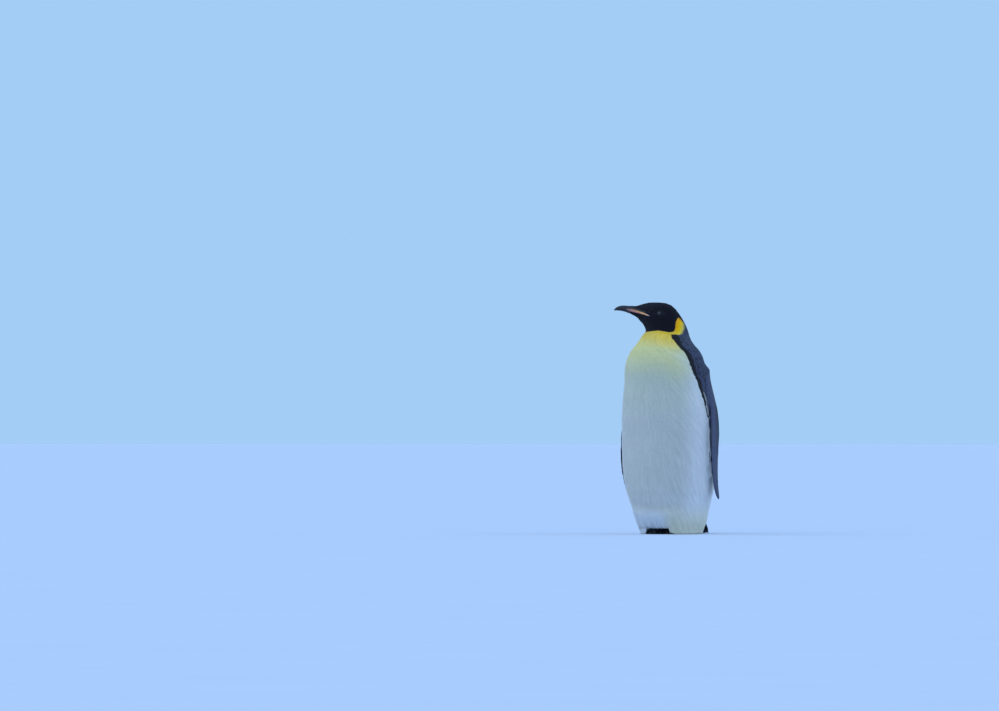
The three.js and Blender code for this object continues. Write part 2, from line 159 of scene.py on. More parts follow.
def relax(points, edges, rounds, share):
    a, b = edges[:, 0], edges[:, 1]
    count = np.maximum(np.bincount(a, minlength=len(points)) + np.bincount(b, minlength=len(points)), 1)
    for _ in range(rounds):
        mean = np.empty_like(points)
        for k in range(3):
            mean[:, k] = (np.bincount(a, points[b, k], len(points))
                          + np.bincount(b, points[a, k], len(points))) / count
        points = points + (mean - points) * share[:, None]
    return points


def solidOf(names, swell):
    whole = bmesh.new()
    for name in names:
        part = bmesh.new()
        part.from_mesh(nodes[name].data)
        bmesh.ops.remove_doubles(part, verts=part.verts, dist=1e-5)
        part.normal_update()
        for v in part.verts:
            v.co += v.normal * swell
        spare = bpy.data.meshes.new("spare")
        part.to_mesh(spare)
        part.free()
        whole.from_mesh(spare)
        bpy.data.meshes.remove(spare)
    return whole


def remeshed(name, names, swell, voxel):
    whole = solidOf(names, swell)
    mesh = bpy.data.meshes.new(name)
    whole.to_mesh(mesh)
    whole.free()
    obj = bpy.data.objects.new(name, mesh)
    bpy.context.scene.collection.objects.link(obj)
    mod = obj.modifiers.new("remesh", "REMESH")
    mod.mode = "VOXEL"
    mod.voxel_size = voxel
    return settled(obj)


def settled(obj):
    ready = bpy.data.meshes.new_from_object(obj.evaluated_get(bpy.context.evaluated_depsgraph_get()))
    obj.modifiers.clear()
    old = obj.data
    obj.data = ready
    ready.name = obj.name
    if old.users == 0:
        bpy.data.meshes.remove(old)
    return obj


def smoothShaded(mesh):
    mesh.polygons.foreach_set("use_smooth", np.ones(len(mesh.polygons), bool))
    mesh.update()


def ownMesh(name, points, faces):
    mesh = bpy.data.meshes.new(name)
    mesh.from_pydata([tuple(p) for p in points], [], faces)
    mesh.update()
    obj = bpy.data.objects.new(name, mesh)
    bpy.context.scene.collection.objects.link(obj)
    return obj


# ---- shader writing ---------------------------------------------------------------------------

class Value:
    def __init__(self, finish, socket):
        self.finish, self.socket = finish, socket

    def maths(self, operation, first, second=0.0):
        return self.finish.node("ShaderNodeMath", {"operation": operation}, {0: first, 1: second})

    def __add__(self, other):
        return self.maths("ADD", self, other)

    def __sub__(self, other):
        return self.maths("SUBTRACT", self, other)

    def __mul__(self, other):
        return self.maths("MULTIPLY", self, other)

    def __truediv__(self, other):
        return self.maths("DIVIDE", self, other)

    def __pow__(self, other):
        return self.maths("POWER", self, other)

    def __radd__(self, other):
        return self.maths("ADD", other, self)

    def __rsub__(self, other):
        return self.maths("SUBTRACT", other, self)

    def __rmul__(self, other):
        return self.maths("MULTIPLY", other, self)

    def __rtruediv__(self, other):
        return self.maths("DIVIDE", other, self)

    def __neg__(self):
        return self.maths("MULTIPLY", self, -1.0)


class Finish:
    def __init__(self, name):
        self.material = bpy.data.materials.new(name)
        self.material.use_nodes = True
        self.tree = self.material.node_tree
        self.tree.nodes.clear()

    def node(self, kind, settings=None, sockets=None, out=0):
        made = self.tree.nodes.new(kind)
        for key, value in (settings or {}).items():
            if key == "stops":
                while len(made.color_ramp.elements) > 1:
                    made.color_ramp.elements.remove(made.color_ramp.elements[-1])
                for i, (place, colour) in enumerate(value):
                    stop = made.color_ramp.elements[0] if i == 0 else made.color_ramp.elements.new(place)
                    stop.position, stop.color = place, (*colour, 1.0)
            else:
                setattr(made, key, value)
        for key, value in (sockets or {}).items():
            if isinstance(value, Value):
                self.tree.links.new(value.socket, made.inputs[key])
            else:
                made.inputs[key].default_value = value
        return Value(self, made.outputs[out])

    def attribute(self, name, out="Fac"):
        return self.node("ShaderNodeAttribute", {"attribute_name": name}, {}, out)

    def place(self):
        return self.node("ShaderNodeTexCoord", out="Object")

    def scaled(self, vector, scale):
        return self.node("ShaderNodeVectorMath", {"operation": "MULTIPLY"}, {0: vector, 1: scale})

    def noise(self, vector, scale, detail=2.0, rough=0.5):
        return self.node("ShaderNodeTexNoise", {}, {"Vector": vector, "Scale": scale, "Detail": detail,
                                                    "Roughness": rough})

    def span(self, value, low, high, toLow=0.0, toHigh=1.0):
        return self.node("ShaderNodeMapRange", {"interpolation_type": "SMOOTHSTEP"},
                         {"Value": value, "From Min": low, "From Max": high,
                          "To Min": toLow, "To Max": toHigh})

    def blend(self, share, first, second, way="MIX"):
        def colour(c):
            return c if isinstance(c, Value) else (*c, 1.0)
        return self.node("ShaderNodeMix", {"data_type": "RGBA", "blend_type": way, "clamp_factor": True},
                         {0: share, 6: colour(first), 7: colour(second)}, 2)

    def shaded(self, colour, amount):
        grey = self.node("ShaderNodeCombineColor", {}, {0: amount, 1: amount, 2: amount})
        return self.blend(1.0, colour, grey, "MULTIPLY")

    def bump(self, height, strength, distance):
        return self.node("ShaderNodeBump", {}, {"Height": height, "Strength": strength,
                                                "Distance": distance})

    def close(self, sockets):
        surface = self.node("ShaderNodeBsdfPrincipled", {}, sockets)
        out = self.tree.nodes.new("ShaderNodeOutputMaterial")
        self.tree.links.new(surface.socket, out.inputs["Surface"])
        return self.material


# ---- camera, floor and light ------------------------------------------------------------------

def makeCamera():
    view = {"away": 30.0, "round": 30.0, "height": 0.405, "lens": 250.0, "up": 0.70, "aside": 1.41}
    turn = math.radians(view["round"])
    ahead = Vector((-math.sin(turn), math.cos(turn), 0))
    right = Vector((math.cos(turn), math.sin(turn), 0))
    aside = math.radians(view["aside"])
    aim = ahead * math.cos(aside) - right * math.sin(aside)
    aim = aim * math.cos(math.radians(view["up"])) + Vector((0, 0, math.sin(math.radians(view["up"]))))
    data = bpy.data.cameras.new("camera")
    data.lens, data.sensor_width = view["lens"], 36.0
    data.clip_start, data.clip_end = 0.5, 2000.0
    camera = bpy.data.objects.new("camera", data)
    bpy.context.scene.collection.objects.link(camera)
    camera.location = Vector(axisPoint) - ahead * view["away"] + Vector((0, 0, view["height"]))
    camera.rotation_mode = "QUATERNION"
    camera.rotation_quaternion = aim.to_track_quat("-Z", "Y")
    bpy.context.scene.camera = camera


def softSun(name, bearing, height, strength, colour):
    data = bpy.data.lights.new(name, "SUN")
    data.energy, data.color, data.angle = strength, colour, math.radians(70)
    light = bpy.data.objects.new(name, data)
    bpy.context.scene.collection.objects.link(light)
    turn, rise = math.radians(bearing), math.radians(height)
    shine = Vector((-math.sin(turn) * math.cos(rise), math.cos(turn) * math.cos(rise), -math.sin(rise)))
    light.rotation_mode = "QUATERNION"
    light.rotation_quaternion = shine.to_track_quat("-Z", "Y")


def makeStudio():
    studio = {"floorColour": (0.64, 0.70, 0.86), "sky": (0.37, 0.61, 0.92), "skyStrength": 1.0,
              "key": 0.40, "keyColour": (1.0, 0.92, 0.80), "rim": 0.59, "rimColour": (0.88, 0.96, 1.0)}
    world = bpy.data.worlds.new("studio")
    bpy.context.scene.world = world
    world.use_nodes = True
    back = world.node_tree.nodes["Background"]
    back.inputs["Color"].default_value = (*studio["sky"], 1)
    back.inputs["Strength"].default_value = studio["skyStrength"]
    size = 600.0
    floor = ownMesh("floor", [(-size, -size, 0), (size, -size, 0), (size, size, 0), (-size, size, 0)],
                    [(0, 1, 2, 3)])
    snow = Finish("floor_white")
    grain = snow.noise(snow.place(), 3.0, 3.0)
    shade = snow.span(grain, 0.2, 0.8, 0.98, 1.0)
    floor.data.materials.append(snow.close({
        "Base Color": snow.shaded(snow.blend(0.0, studio["floorColour"], studio["floorColour"]), shade),
        "Roughness": 0.9}))
    softSun("key", 5, 45, studio["key"], studio["keyColour"])
    softSun("rim_left", 286, 26, studio["rim"], studio["rimColour"])
    softSun("rim_right", 124, 26, studio["rim"], studio["rimColour"])
    bpy.context.scene.view_settings.view_transform = "Standard"


makeCamera()
makeStudio()
print("camera, floor and light made")


# ---- markings ---------------------------------------------------------------------------------

plumage = {
    "belly": (0.545, 0.545, 0.515), "chest": (0.56, 0.58, 0.46), "lemon": (0.76, 0.71, 0.30),
    "yellow": (0.90, 0.60, 0.065), "gold": (0.98, 0.55, 0.003), "orange": (0.98, 0.36, 0.004), "lime": (0.80, 0.66, 0.12),
    "hood": (0.0080, 0.0072, 0.0125), "band": (0.005, 0.005, 0.008), "slate": (0.040, 0.050, 0.100),
    "nape": (0.044, 0.057, 0.098), "cream": (0.60, 0.59, 0.44), "flipper": (0.068, 0.080, 0.140),
    # on the next line: the fold's cool tint is painted sky light (darkened, also the painted shade under the fold),
    # the flanks' added brightness is painted sky light, and the eye's bluish ring is a painted reflection
    "paintedFoldTint": (0.56, 0.59, 0.62), "paintedFlankLight": (0.18, 0.18, 0.27), "paintedEyeSheen": (0.040, 0.045, 0.084),
    "ochre": (0.86, 0.46, 0.02),
    # degrees round from the bill's side where the white ends, by height in mm
    "edge": [(850, 88), (833, 88.5), (820, 85.6), (808, 82.3), (795, 81), (778, 76), (761, 70), (736, 61.8), (714, 59.6),
             (692, 60.9), (665, 66.8), (637, 69.3), (610, 72.5), (579, 75.6),
             (557, 76.4), (521, 78.8), (500, 81.5), (480, 84.5), (415, 95),
             (340, 120), (250, 132), (110, 140), (60, 150)],
    "bandWidth": [(850, 15), (820, 8.2), (791, 7.6), (764, 7.8), (736, 6.6), (709, 5.6), (681, 6.2),
                  (654, 6.4), (626, 5.0), (598, 4.6), (571, 3.6), (543, 2.8), (505, 2.0), (490, 0)],
    "bandTop": 0.8625, "sliver": 8.0,
    "hoodUnder": [(-150, 870), (-100, 872), (-56, 877.5), (-9, 871), (9, 873.5), (15, 878), (40, 900)],
    "patchFront": [(860, 13), (877, 14.5), (892, 18.6), (920, 22), (930, 27), (937, 33), (945, 45)],
    "patchRear": [(846, 34), (858, 41), (866, 46), (875, 52), (892, 58), (912, 57), (926, 47), (934, 38),
                  (939, 30)],
    "crownUnder": [(33, 937), (43, 932), (56, 914), (66, 904), (95, 905)],
}


def headPlace(points):
    off = points - axisPoint
    return off @ backward, off @ headLeft - headAside


def sideAngle(points):
    off = points - axisPoint
    turn = -np.degrees(headTurn) * rise(points[:, 2], 0.700, 0.877)
    angle = np.degrees(np.arctan2(off[:, 0], -off[:, 1])) - turn
    return (angle + 180) % 360 - 180, np.hypot(off[:, 0], off[:, 1])


eyeMiddle = sum(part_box("eye_left"), Vector()) / 2
eyeAlong, eyeLevel = headPlace(np.array([eyeMiddle]))[0][0] / mm, eyeMiddle.z / mm


def bodyTone(points, normals=None):
    z = points[:, 2] / mm
    u, _ = headPlace(points)
    u = u / mm
    angle, reach = sideAngle(points)
    ragged = 2.6 * ripple(points, 0.020, 3) + 2.6 * ripple(points, 0.008, 4)
    perDegree = math.pi / 180 * reach / mm
    # white ground, warmer upwards, in long faint streaks that run down and back
    arc = np.radians(angle) * reach
    slant = np.sign(angle) * rise(np.abs(angle), 0, 30)
    across = (arc + slant * (0.35 * points[:, 2] + 0.35 * np.maximum(points[:, 2] - 0.35, 0))) / 0.0052
    streak = grain(across + 40, points[:, 2] / 0.040, 30)
    streak = streak + 0.6 * grain(across * 2.3 + 90, points[:, 2] / 0.022, 31)
    flank = rise(np.abs(angle), 38, 66) * (1 - rise(z, 740, 820))
    tone = mixed(plumage["belly"], plumage["chest"], rise(z, 430, 730) * (1 - 0.8 * flank))
    # the flanks are made lighter and bluer: painted sky light on the sides
    tone = tone * (1 + flank[:, None] * np.array(plumage["paintedFlankLight"]))
    tone = mixed(tone, plumage["cream"], 0.75 * rise(-z, -150, -40) * rise(angle, -14, 22))
    inFold = rise(-np.abs(angle + 26), -62, -34)
    # the fold's roll below the crease gets a cooler, lighter tint: painted sky light on its upward-facing top
    tone = mixed(tone, plumage["paintedFoldTint"], inFold * rise(-z, -118, -84))
    # the body lightens towards the bottom: painted bounce light from the floor
    tone = tone * (1 + 0.13 * rise(-z, -300, -60))[:, None]
    front = rise(np.cos(np.radians(angle)), -0.2, 0.9)
    warm = z + 22 * rise(u, -70, 20) + 10 * ripple(points, 0.16, 7)
    tone = mixed(tone, plumage["lemon"], rise(warm, 655, 840) * (0.6 + 0.4 * front) * (1 - 0.5 * flank))
    ochre = z + 8 * ripple(points, 0.05, 6) + 20 * rise(u, -70, 20)
    tone = mixed(tone, plumage["yellow"], rise(ochre, 796, 884))
    tone = mixed(tone, plumage["yellow"], 0.45 * rise(z, 790, 850) * rise(np.abs(angle), 36, 70))
    tone = tone * (1 + 0.07 * streak)[:, None]
    # under the fold's overhang the tone darkens to a third of the fold tint, in ragged streaks: painted shade over
    # the feet
    wisp = grain(arc / 0.0042 + 17, points[:, 2] / 0.045, 32) + 0.5 * grain(arc / 0.0021 + 5, points[:, 2] / 0.03, 34)
    paintedFoldShade = inFold * (rise(-z, -78, -40) * rise(wisp, -0.1, 0.9) * 0.55 + 0.30 * rise(-z, -50, -34))
    tone = mixed(tone, np.array(plumage["paintedFoldTint"]) * 0.30, paintedFoldShade * rise(z, 26, 34))
    # the ear patch
    front = u - along(z, plumage["patchFront"])
    hot = rise(-front, -18, -5) * rise(z, 872, 900)
    tone = mixed(tone, plumage["gold"], rise(z, 862, 882) * rise(front, -1, 4))
    tone = mixed(tone, plumage["orange"], 0.80 * np.maximum(hot, rise(z, 914, 934)) * rise(front, -2, 2))
    tone = mixed(tone, plumage["lime"],
                 0.85 * rise(front, 18, 36) * rise(z, 850, 868) * (1 - rise(z, 905, 930)))
    # dark side and back
    past = (np.abs(angle) - along(z, plumage["edge"])) * perDegree + ragged
    overBand = z / 1000 > plumage["bandTop"]
    rear = u - along(z, plumage["patchRear"]) + 1.5 * ripple(points, 0.009, 5)
    dark = np.where(overBand, rise(rear, -9, 8), rise(past, -1.0, 1.0))
    slate = mixed(plumage["slate"], plumage["nape"],
                  rise(z, 780, 850) * (1 - rise(z, 900, 930)) * rise(-np.abs(u - 62), -42, -14))
    spots = grain(arc / 0.0046 + 60, points[:, 2] / 0.0062, 33)
    spotted = rise(z, 560, 700) * (1 - rise(z, 830, 880)) * rise(spots, 0.0, 0.5)
    slate = slate * (1.08 + 0.12 * ripple(points, 0.03, 8) - 0.72 * spotted)[:, None]
    tone = mixed(tone, slate, dark)
    width = along(z, plumage["bandWidth"]) * perDegree
    soft = np.maximum(width * 0.30, 1.0)
    band = rise(past, -1.0, 1.0) * rise(-past, -width - soft, -width + 0.2 * soft) * (width > 0.05)
    band = band * rise(-z + 2 * ripple(points, 0.01, 9), -plumage["bandTop"] * 1000 - 1.5,
                       -plumage["bandTop"] * 1000 + 1.5)
    tone = mixed(tone, plumage["band"], band)
    gap = plumage["sliver"] * rise(-z, -634, -600) * rise(z, 440, 480)
    sliver = rise(past, width, width + 1.5) * rise(-past, -width - gap - 1, -width - gap + 1) * (gap > 1)
    tone = mixed(tone, plumage["belly"], 0.9 * sliver)
    # hood
    chin = np.minimum(z - along(u, plumage["hoodUnder"]), -front)
    crown = np.where(u > 33, (z - along(u, plumage["crownUnder"])) * 0.9, np.where(z > 937, 20, -20))
    chin = np.where(z > 937, 20.0, chin)
    hood = np.maximum(rise(chin + 0.5 * ripple(points, 0.006, 10), -0.8, 0.8),
                      np.where(u > 56, rise(crown, -12, 26), rise(crown, -1.2, 1.2)))
    ochreLine = rise(chin, -14, -6) * rise(-chin, 1, 4) * rise(u, -62, -40)
    tone = mixed(tone, plumage["ochre"], 0.55 * ochreLine)
    # the hood's black is made up to 70% lighter towards the crown: painted sheen on the top of the head
    dark = np.tile(np.array(plumage["hood"]), (len(z), 1)) * (1 + 0.7 * rise(z, 965, 992))[:, None]
    fromEye = np.hypot((u - eyeAlong) / 15, (z - eyeLevel) / 7)
    # an ellipse round the eye turns lighter and bluish: painted sky reflection round the eye
    dark = mixed(dark, plumage["paintedEyeSheen"], 0.8 * np.exp(-fromEye ** 2))
    return mixed(tone, dark, hood)


def bodyMark(points):
    angle, reach = sideAngle(points)
    z = points[:, 2] / mm
    past = (np.abs(angle) - along(z, plumage["edge"])) * math.pi / 180 * reach / mm
    return rise(past, 0, 4) * (1 - rise(z, 815, 875))


def flipperSpans(name):
    points = coordsOf(nodes[name].data)
    step = 0.03
    rows = []
    low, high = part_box(name)
    for level in np.arange(low.z, high.z + step, step):
        near = points[np.abs(points[:, 2] - level) < step * 1.2]
        if len(near):
            rows.append((level, near[:, 1].min(), near[:, 1].max(), near[:, 0].mean()))
    return np.array(rows)


flipperRows = {name: flipperSpans(name) for name in ("flipper_left", "flipper_right")}


def flipperTone(points, normals, name):
    rows = flipperRows[name]
    z = points[:, 2]
    lead = np.interp(z, rows[:, 0], rows[:, 1])
    trail = np.interp(z, rows[:, 0], rows[:, 2])
    side = 1 if name == "flipper_left" else -1
    outward = normals[:, 0] * side
    fromLead, fromTrail = (points[:, 1] - lead) / mm, (trail - points[:, 1]) / mm
    tone = np.tile(np.array(plumage["flipper"]), (len(points), 1))
    tone = tone * (1 + 0.14 * ripple(points, 0.02, 12))[:, None]
    edgeOn = 1 - rise(outward, 0.05, 0.45) * rise(z, 0.42, 0.50)
    tone = mixed(tone, plumage["band"], rise(-fromLead, -9, -5) * 0.92 * edgeOn)
    # a dark strip before the trailing edge, and faces turned backward and outward are darkened too: painted shade on
    # the flipper's rear side
    rearStripAndPaintedShade = np.maximum(rise(-fromTrail, -11, -6), rise(normals[:, 1], 0.08, 0.40) * rise(outward, 0.0, 0.3))
    tone = mixed(tone, plumage["band"], 0.85 * rearStripAndPaintedShade * rise(z, 0.30, 0.40))
    inner = mixed(plumage["belly"], plumage["band"], rise(-fromLead, -10, -6))
    inner = mixed(inner, plumage["flipper"], rise(-z, -0.235, -0.17))
    trailing = rise(-fromTrail, -2.6, -1.2) * rise(z, 0.24, 0.30) * (1 - rise(z, 0.42, 0.50))
    tone = mixed(tone, plumage["belly"], 0.4 * trailing)
    tone = mixed(inner, tone, np.maximum(rise(outward, -0.55, -0.15), rise(z, 0.56, 0.62)))
    top = rise(z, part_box(name)[1].z - 0.09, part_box(name)[1].z - 0.03)
    return mixed(tone, bodyTone(points), top)


# ---- the skin ---------------------------------------------------------------------------------

skinShape = {
    "voxel": 0.0045, "swell": 0.0006,
    "depth": {"trunk": 0.0016, "neck": 0.0016, "head": 0.0010, "flipper": 0.0008, "tail": 0.0060,
              "leg": 0.0012, "foot": 0.0007, "bill": 0.0022, "eye": 0.0016, "under_tail": 0.0015},
    "rounds": 26, "mostFallen": 0.004, "easy": {"foot": 0.16, "flipper": 0.30, "leg": 0.5, "tail": 0.4, "head": 0.42},
    "foldHeight": 0.118, "foldDepth": 0.0020, "rollOut": 0.0030, "lump": 0.0012,
}
fleshNames = ["trunk", "neck", "head", "flipper_left", "flipper_right", "tail", "leg_left", "leg_right",
              "foot_left", "foot_right"]
billNames = ["bill_upper", "bill_lower", "bill_plate_left", "bill_plate_right"]
eyeNames = ["eye_left", "eye_right"]
coreNames = fleshNames + billNames + eyeNames


def nearestNodes(points):
    corners, faces, owner = [], [], []
    for k, name in enumerate(coreNames):
        mesh = nodes[name].data
        start = len(corners)
        corners.extend(tuple(p) for p in coordsOf(mesh))
        for face in mesh.polygons:
            faces.append([start + v for v in face.vertices])
            owner.append(k)
    tree = BVHTree.FromPolygons(corners, faces)
    return np.array([owner[tree.find_nearest(Vector(p))[2]] for p in points])


def awayFrom(points, names):
    corners, faces = [], []
    for name in names:
        start = len(corners)
        corners.extend(tuple(p) for p in coordsOf(nodes[name].data))
        faces.extend([start + v for v in face.vertices] for face in nodes[name].data.polygons)
    tree = BVHTree.FromPolygons(corners, faces)
    return np.array([tree.find_nearest(Vector(p))[3] for p in points])


def fallen(points, normals):
    # how far the smoothed form lies inside the solids it was made from
    corners, faces = [], []
    for name in coreNames:
        start = len(corners)
        corners.extend(tuple(p) for p in coordsOf(nodes[name].data))
        faces.extend([start + v for v in face.vertices] for face in nodes[name].data.polygons)
    tree = BVHTree.FromPolygons(corners, faces)
    near = np.array([tree.find_nearest(Vector(p))[0] for p in points])
    return np.sum((near - points) * normals, 1)


def kindOf(name):
    return name.split("_")[0]


def makeSkin():
    skin = remeshed("skin", coreNames, skinShape["swell"], skinShape["voxel"])
    mesh = skin.data
    points = coordsOf(mesh)
    owner = nearestNodes(points)
    kinds = np.array([kindOf(coreNames[k]) for k in owner])
    share = np.full(len(points), 0.5)
    for kind, ease in skinShape["easy"].items():
        share[kinds == kind] = ease
    share = relax(share[:, None] * np.ones(3), edgesOf(mesh), 6, np.full(len(points), 0.5))[:, 0]
    points = relax(points, edgesOf(mesh), skinShape["rounds"], share)
    setCoords(mesh, points)
    # finer faces where the form is fine
    eyeSpots = [(sum(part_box(name), Vector()) / 2) for name in eyeNames]
    work = bmesh.new()
    work.from_mesh(mesh)
    finer = [e for e in work.edges if e.verts[0].co.z < 0.034 or
             (e.verts[0].co.z > 0.862)]
    bmesh.ops.subdivide_edges(work, edges=finer, cuts=1, use_grid_fill=True, smooth=0.0)
    finer = [e for e in work.edges if min((e.verts[0].co - s).length for s in eyeSpots) < 0.019]
    bmesh.ops.subdivide_edges(work, edges=finer, cuts=1, use_grid_fill=True, smooth=0.0)
    bmesh.ops.triangulate(work, faces=[f for f in work.faces if len(f.verts) > 4])
    work.to_mesh(mesh)
    work.free()
    points = coordsOf(mesh)
    owner = nearestNodes(points)
    kinds = np.array([kindOf(coreNames[k]) for k in owner])
    edges = edgesOf(mesh)
    points = relax(points, edges, 4, np.where(points[:, 2] > 0.86, 0.5, 0.25))
    setCoords(mesh, points)
    fell = np.clip(fallen(points, normalsOf(mesh)), 0, skinShape["mostFallen"])
    fell[np.isin(kinds, ["foot", "eye", "bill"])] = 0
    fell = relax(fell[:, None] * np.ones(3), edges, 16, np.full(len(points), 0.5))[:, 0]
    points = points + normalsOf(mesh) * fell[:, None]
    setCoords(mesh, points)
    depth = np.array([skinShape["depth"][k] for k in kinds])
    depth[(kinds == "tail") & (normalsOf(mesh)[:, 2] < -0.2)] = skinShape["depth"]["under_tail"]
    depth = relax(depth[:, None] * np.ones(3), edges, 10, np.full(len(points), 0.5))[:, 0]
    normals = normalsOf(mesh)
    face = points[:, 2] > 0.86
    toBill, toHead = np.full(len(points), 1.0), np.full(len(points), 1.0)
    toBill[face], toHead[face] = awayFrom(points[face], billNames), awayFrom(points[face], ["head"])
    onBill = (kinds == "bill") & face
    depth = np.where((kinds == "head") & face, np.minimum(depth, 0.0003 + 0.0014 * rise(toBill, 0.001, 0.016)), depth)
    depth = np.where(onBill, 0.0004 + 0.0010 * rise(toHead, 0.0005, 0.004), depth)
    # brood fold over the feet: a crease with a full roll under it
    angle, _ = sideAngle(points)
    z = points[:, 2]
    trunkShare = (kinds == "trunk").astype(float)
    front = rise(-np.abs(angle + 4), -66, -38) * trunkShare
    foldAt = skinShape["foldHeight"] + 0.010 * (1 - np.cos(np.radians(angle * 1.5)))
    foldAt = foldAt + 0.006 * ripple(points, 0.12, 22)
    crease = front * np.exp(-((z - foldAt) / 0.022) ** 2)
    roll = front * np.exp(-((z - foldAt + 0.042) / 0.026) ** 2)
    push = -depth - skinShape["foldDepth"] * crease + skinShape["rollOut"] * roll
    push = push + trunkShare * skinShape["lump"] * ripple(points, 0.11, 21) * rise(z, 0.05, 0.15)
    points = points + normals * push[:, None]
    for spot, name in zip(eyeSpots, eyeNames):
        points = lidded(points, np.array(spot), name)
    setCoords(mesh, points)
    smoothShaded(mesh)
    return skin, kinds, owner


lids = {"radius": 0.0108, "long": 0.0074, "high": 0.0061, "rim": 0.0009, "sink": 0.0030, "fade": 2.3}


def eyeFacing(name):
    side = headLeft if name == "eye_left" else -headLeft
    facing = side - backward * 0.12 + np.array([0, 0, 0.06])
    return facing / np.linalg.norm(facing)


def lidded(points, spot, name):
    facing = eyeFacing(name)
    lengthwise = np.cross(np.array([0, 0, 1.0]), facing)
    lengthwise /= np.linalg.norm(lengthwise)
    upright = np.cross(facing, lengthwise)
    off = points - spot
    a, b, h = off @ lengthwise, off @ upright, off @ facing
    q = np.hypot(a / lids["long"], b / lids["high"])
    near = (q < lids["fade"]) & (h > 0)
    ball = np.sqrt(np.maximum(lids["radius"] ** 2 - a ** 2 - b ** 2, 0.0))
    rim = lids["rim"] * np.exp(-((q - 1.16) / 0.16) ** 2)
    target = np.where(q < 1, ball - lids["sink"] * rise(-q, -1.0, -0.86), ball + rim)
    keep = rise(q, 1.22, lids["fade"])
    target = np.where(q < 1.22, target, target * (1 - keep) + h * keep)
    moved = points + facing[None, :] * (target - h)[:, None]
    return np.where(near[:, None], moved, points)


skin, skinKinds, skinOwner = makeSkin()
skinMesh = skin.data
skinPoints, skinNormals = coordsOf(skinMesh), normalsOf(skinMesh)
print("skin made,", len(skinPoints), "points")


# ---- which way the coat lies ------------------------------------------------------------------

def tipOf(name):
    low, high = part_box(name)
    side = 1 if name.endswith("left") else -1
    return np.array([side * 0.213, 0.013, low.z])


def layOf(points, kinds, owner):
    angle, _ = sideAngle(points)
    z = points[:, 2]
    off = points - axisPoint
    bearing = np.arctan2(off[:, 0], -off[:, 1])
    aft = np.stack([np.cos(bearing), np.sin(bearing), np.zeros_like(z)], 1) * np.sin(bearing)[:, None]
    sweep = 0.85 * rise(z, 0.20, 0.50) * (1 - 0.6 * rise(z, 0.70, 0.86)) + 0.15
    lay = np.array([0, 0, -1.0]) + aft * sweep[:, None]
    u, _ = headPlace(points)
    rear = rise(u, -0.03, 0.07)
    overHead = backward[None, :] * (1.1 - 0.95 * rear)[:, None]
    overHead = overHead + np.array([0, 0, -1.0]) * (0.12 + 0.9 * rear)[:, None]
    lay = mixed(lay, overHead, rise(z, 0.835, 0.885))
    for name in ("flipper_left", "flipper_right"):
        mine = owner == coreNames.index(name)
        lay[mine] = tipOf(name) - np.array([points[mine][:, 0].mean() * 0.6, axisPoint[1] + 0.02, 0.76])
    low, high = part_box("tail")
    mine = kinds == "tail"
    lay[mine] = np.array([0, high.y - low.y, -(high.z - low.z)]) + np.stack(
        [points[mine][:, 0] * 0.6, 0 * z[mine], 0 * z[mine]], 1)
    mine = kinds == "foot"
    lay[mine] = np.array([0, -1.0, -0.25])
    mine = (kinds == "leg") | (z < 0.038) & (kinds == "trunk")
    lay[mine] = np.array([0, 0, -1.0])
    return unit(lay - skinNormals * np.sum(lay * skinNormals, 1, keepdims=True))


skinLay = layOf(skinPoints, skinKinds, skinOwner)


def skinTone(points, normals, kinds, owner):
    tone = bodyTone(points)
    for name in ("flipper_left", "flipper_right"):
        mine = owner == coreNames.index(name)
        tone[mine] = flipperTone(points[mine], normals[mine], name)
    tone[kinds == "tail"] = plumage["band"]
    tone[kinds == "foot"] = (0.090, 0.092, 0.104)
    bare = (kinds == "bill") | (kinds == "eye")
    tone[bare] = plumage["hood"]
    return tone


skinTones = skinTone(skinPoints, skinNormals, skinKinds, skinOwner)
setColour(skinMesh, "tone", skinTones)


def skinFinish():
    finish = Finish("skin_under_coat")
    tone = finish.attribute("tone", "Color")
    place = finish.place()
    pores = finish.noise(place, 420.0, 3.0)
    patchy = finish.noise(place, 45.0, 3.0)
    colour = finish.shaded(tone, finish.span(patchy, 0.25, 0.75, 0.78, 1.04))
    return finish.close({"Base Color": colour, "Roughness": finish.span(pores, 0.3, 0.7, 0.62, 0.80),
                         "Specular IOR Level": 0.3, "Normal": finish.bump(pores, 0.35, 0.0006)})


skinMesh.materials.clear()
skinMesh.materials.append(skinFinish())
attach(skin, "root")
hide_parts(*fleshNames)


# ---- the coat ---------------------------------------------------------------------------------

def vaneMesh(name, rows, cup, droop):
    points, faces, leaf = [], [], []
    for x, half in rows:
        z = -droop * x * x
        if half <= 0:
            points.append((x, 0, z))
            leaf.append((x, 0.5, 0))
        else:
            points += [(x, -half, z - cup), (x, 0, z), (x, half, z - cup)]
            leaf += [(x, 0.5 - half, 0), (x, 0.5, 0), (x, 0.5 + half, 0)]
    middle = [r for r in rows if r[1] > 0]
    last = len(points) - 1
    faces += [(0, 1, 2), (0, 2, 3)]
    for k in range(len(middle) - 1):
        a = 1 + 3 * k
        faces += [(a, a + 3, a + 4), (a, a + 4, a + 1), (a + 1, a + 4, a + 5), (a + 1, a + 5, a + 2)]
    a = 1 + 3 * (len(middle) - 1)
    faces += [(a, last, a + 1), (a + 1, last, a + 2)]
    obj = ownMesh(name, points, faces)
    setVector(obj.data, "leaf", np.array(leaf))
    smoothShaded(obj.data)
    return obj


bodyVane = vaneMesh("vane_body", [(0, 0), (0.42, 0.46), (0.80, 0.36), (1, 0)], 0.035, 0.05)
smallVane = vaneMesh("vane_small", [(0, 0), (0.55, 0.48), (1, 0)], 0.03, 0.05)
for spare in (bodyVane, smallVane):
    bpy.context.scene.collection.objects.unlink(spare)


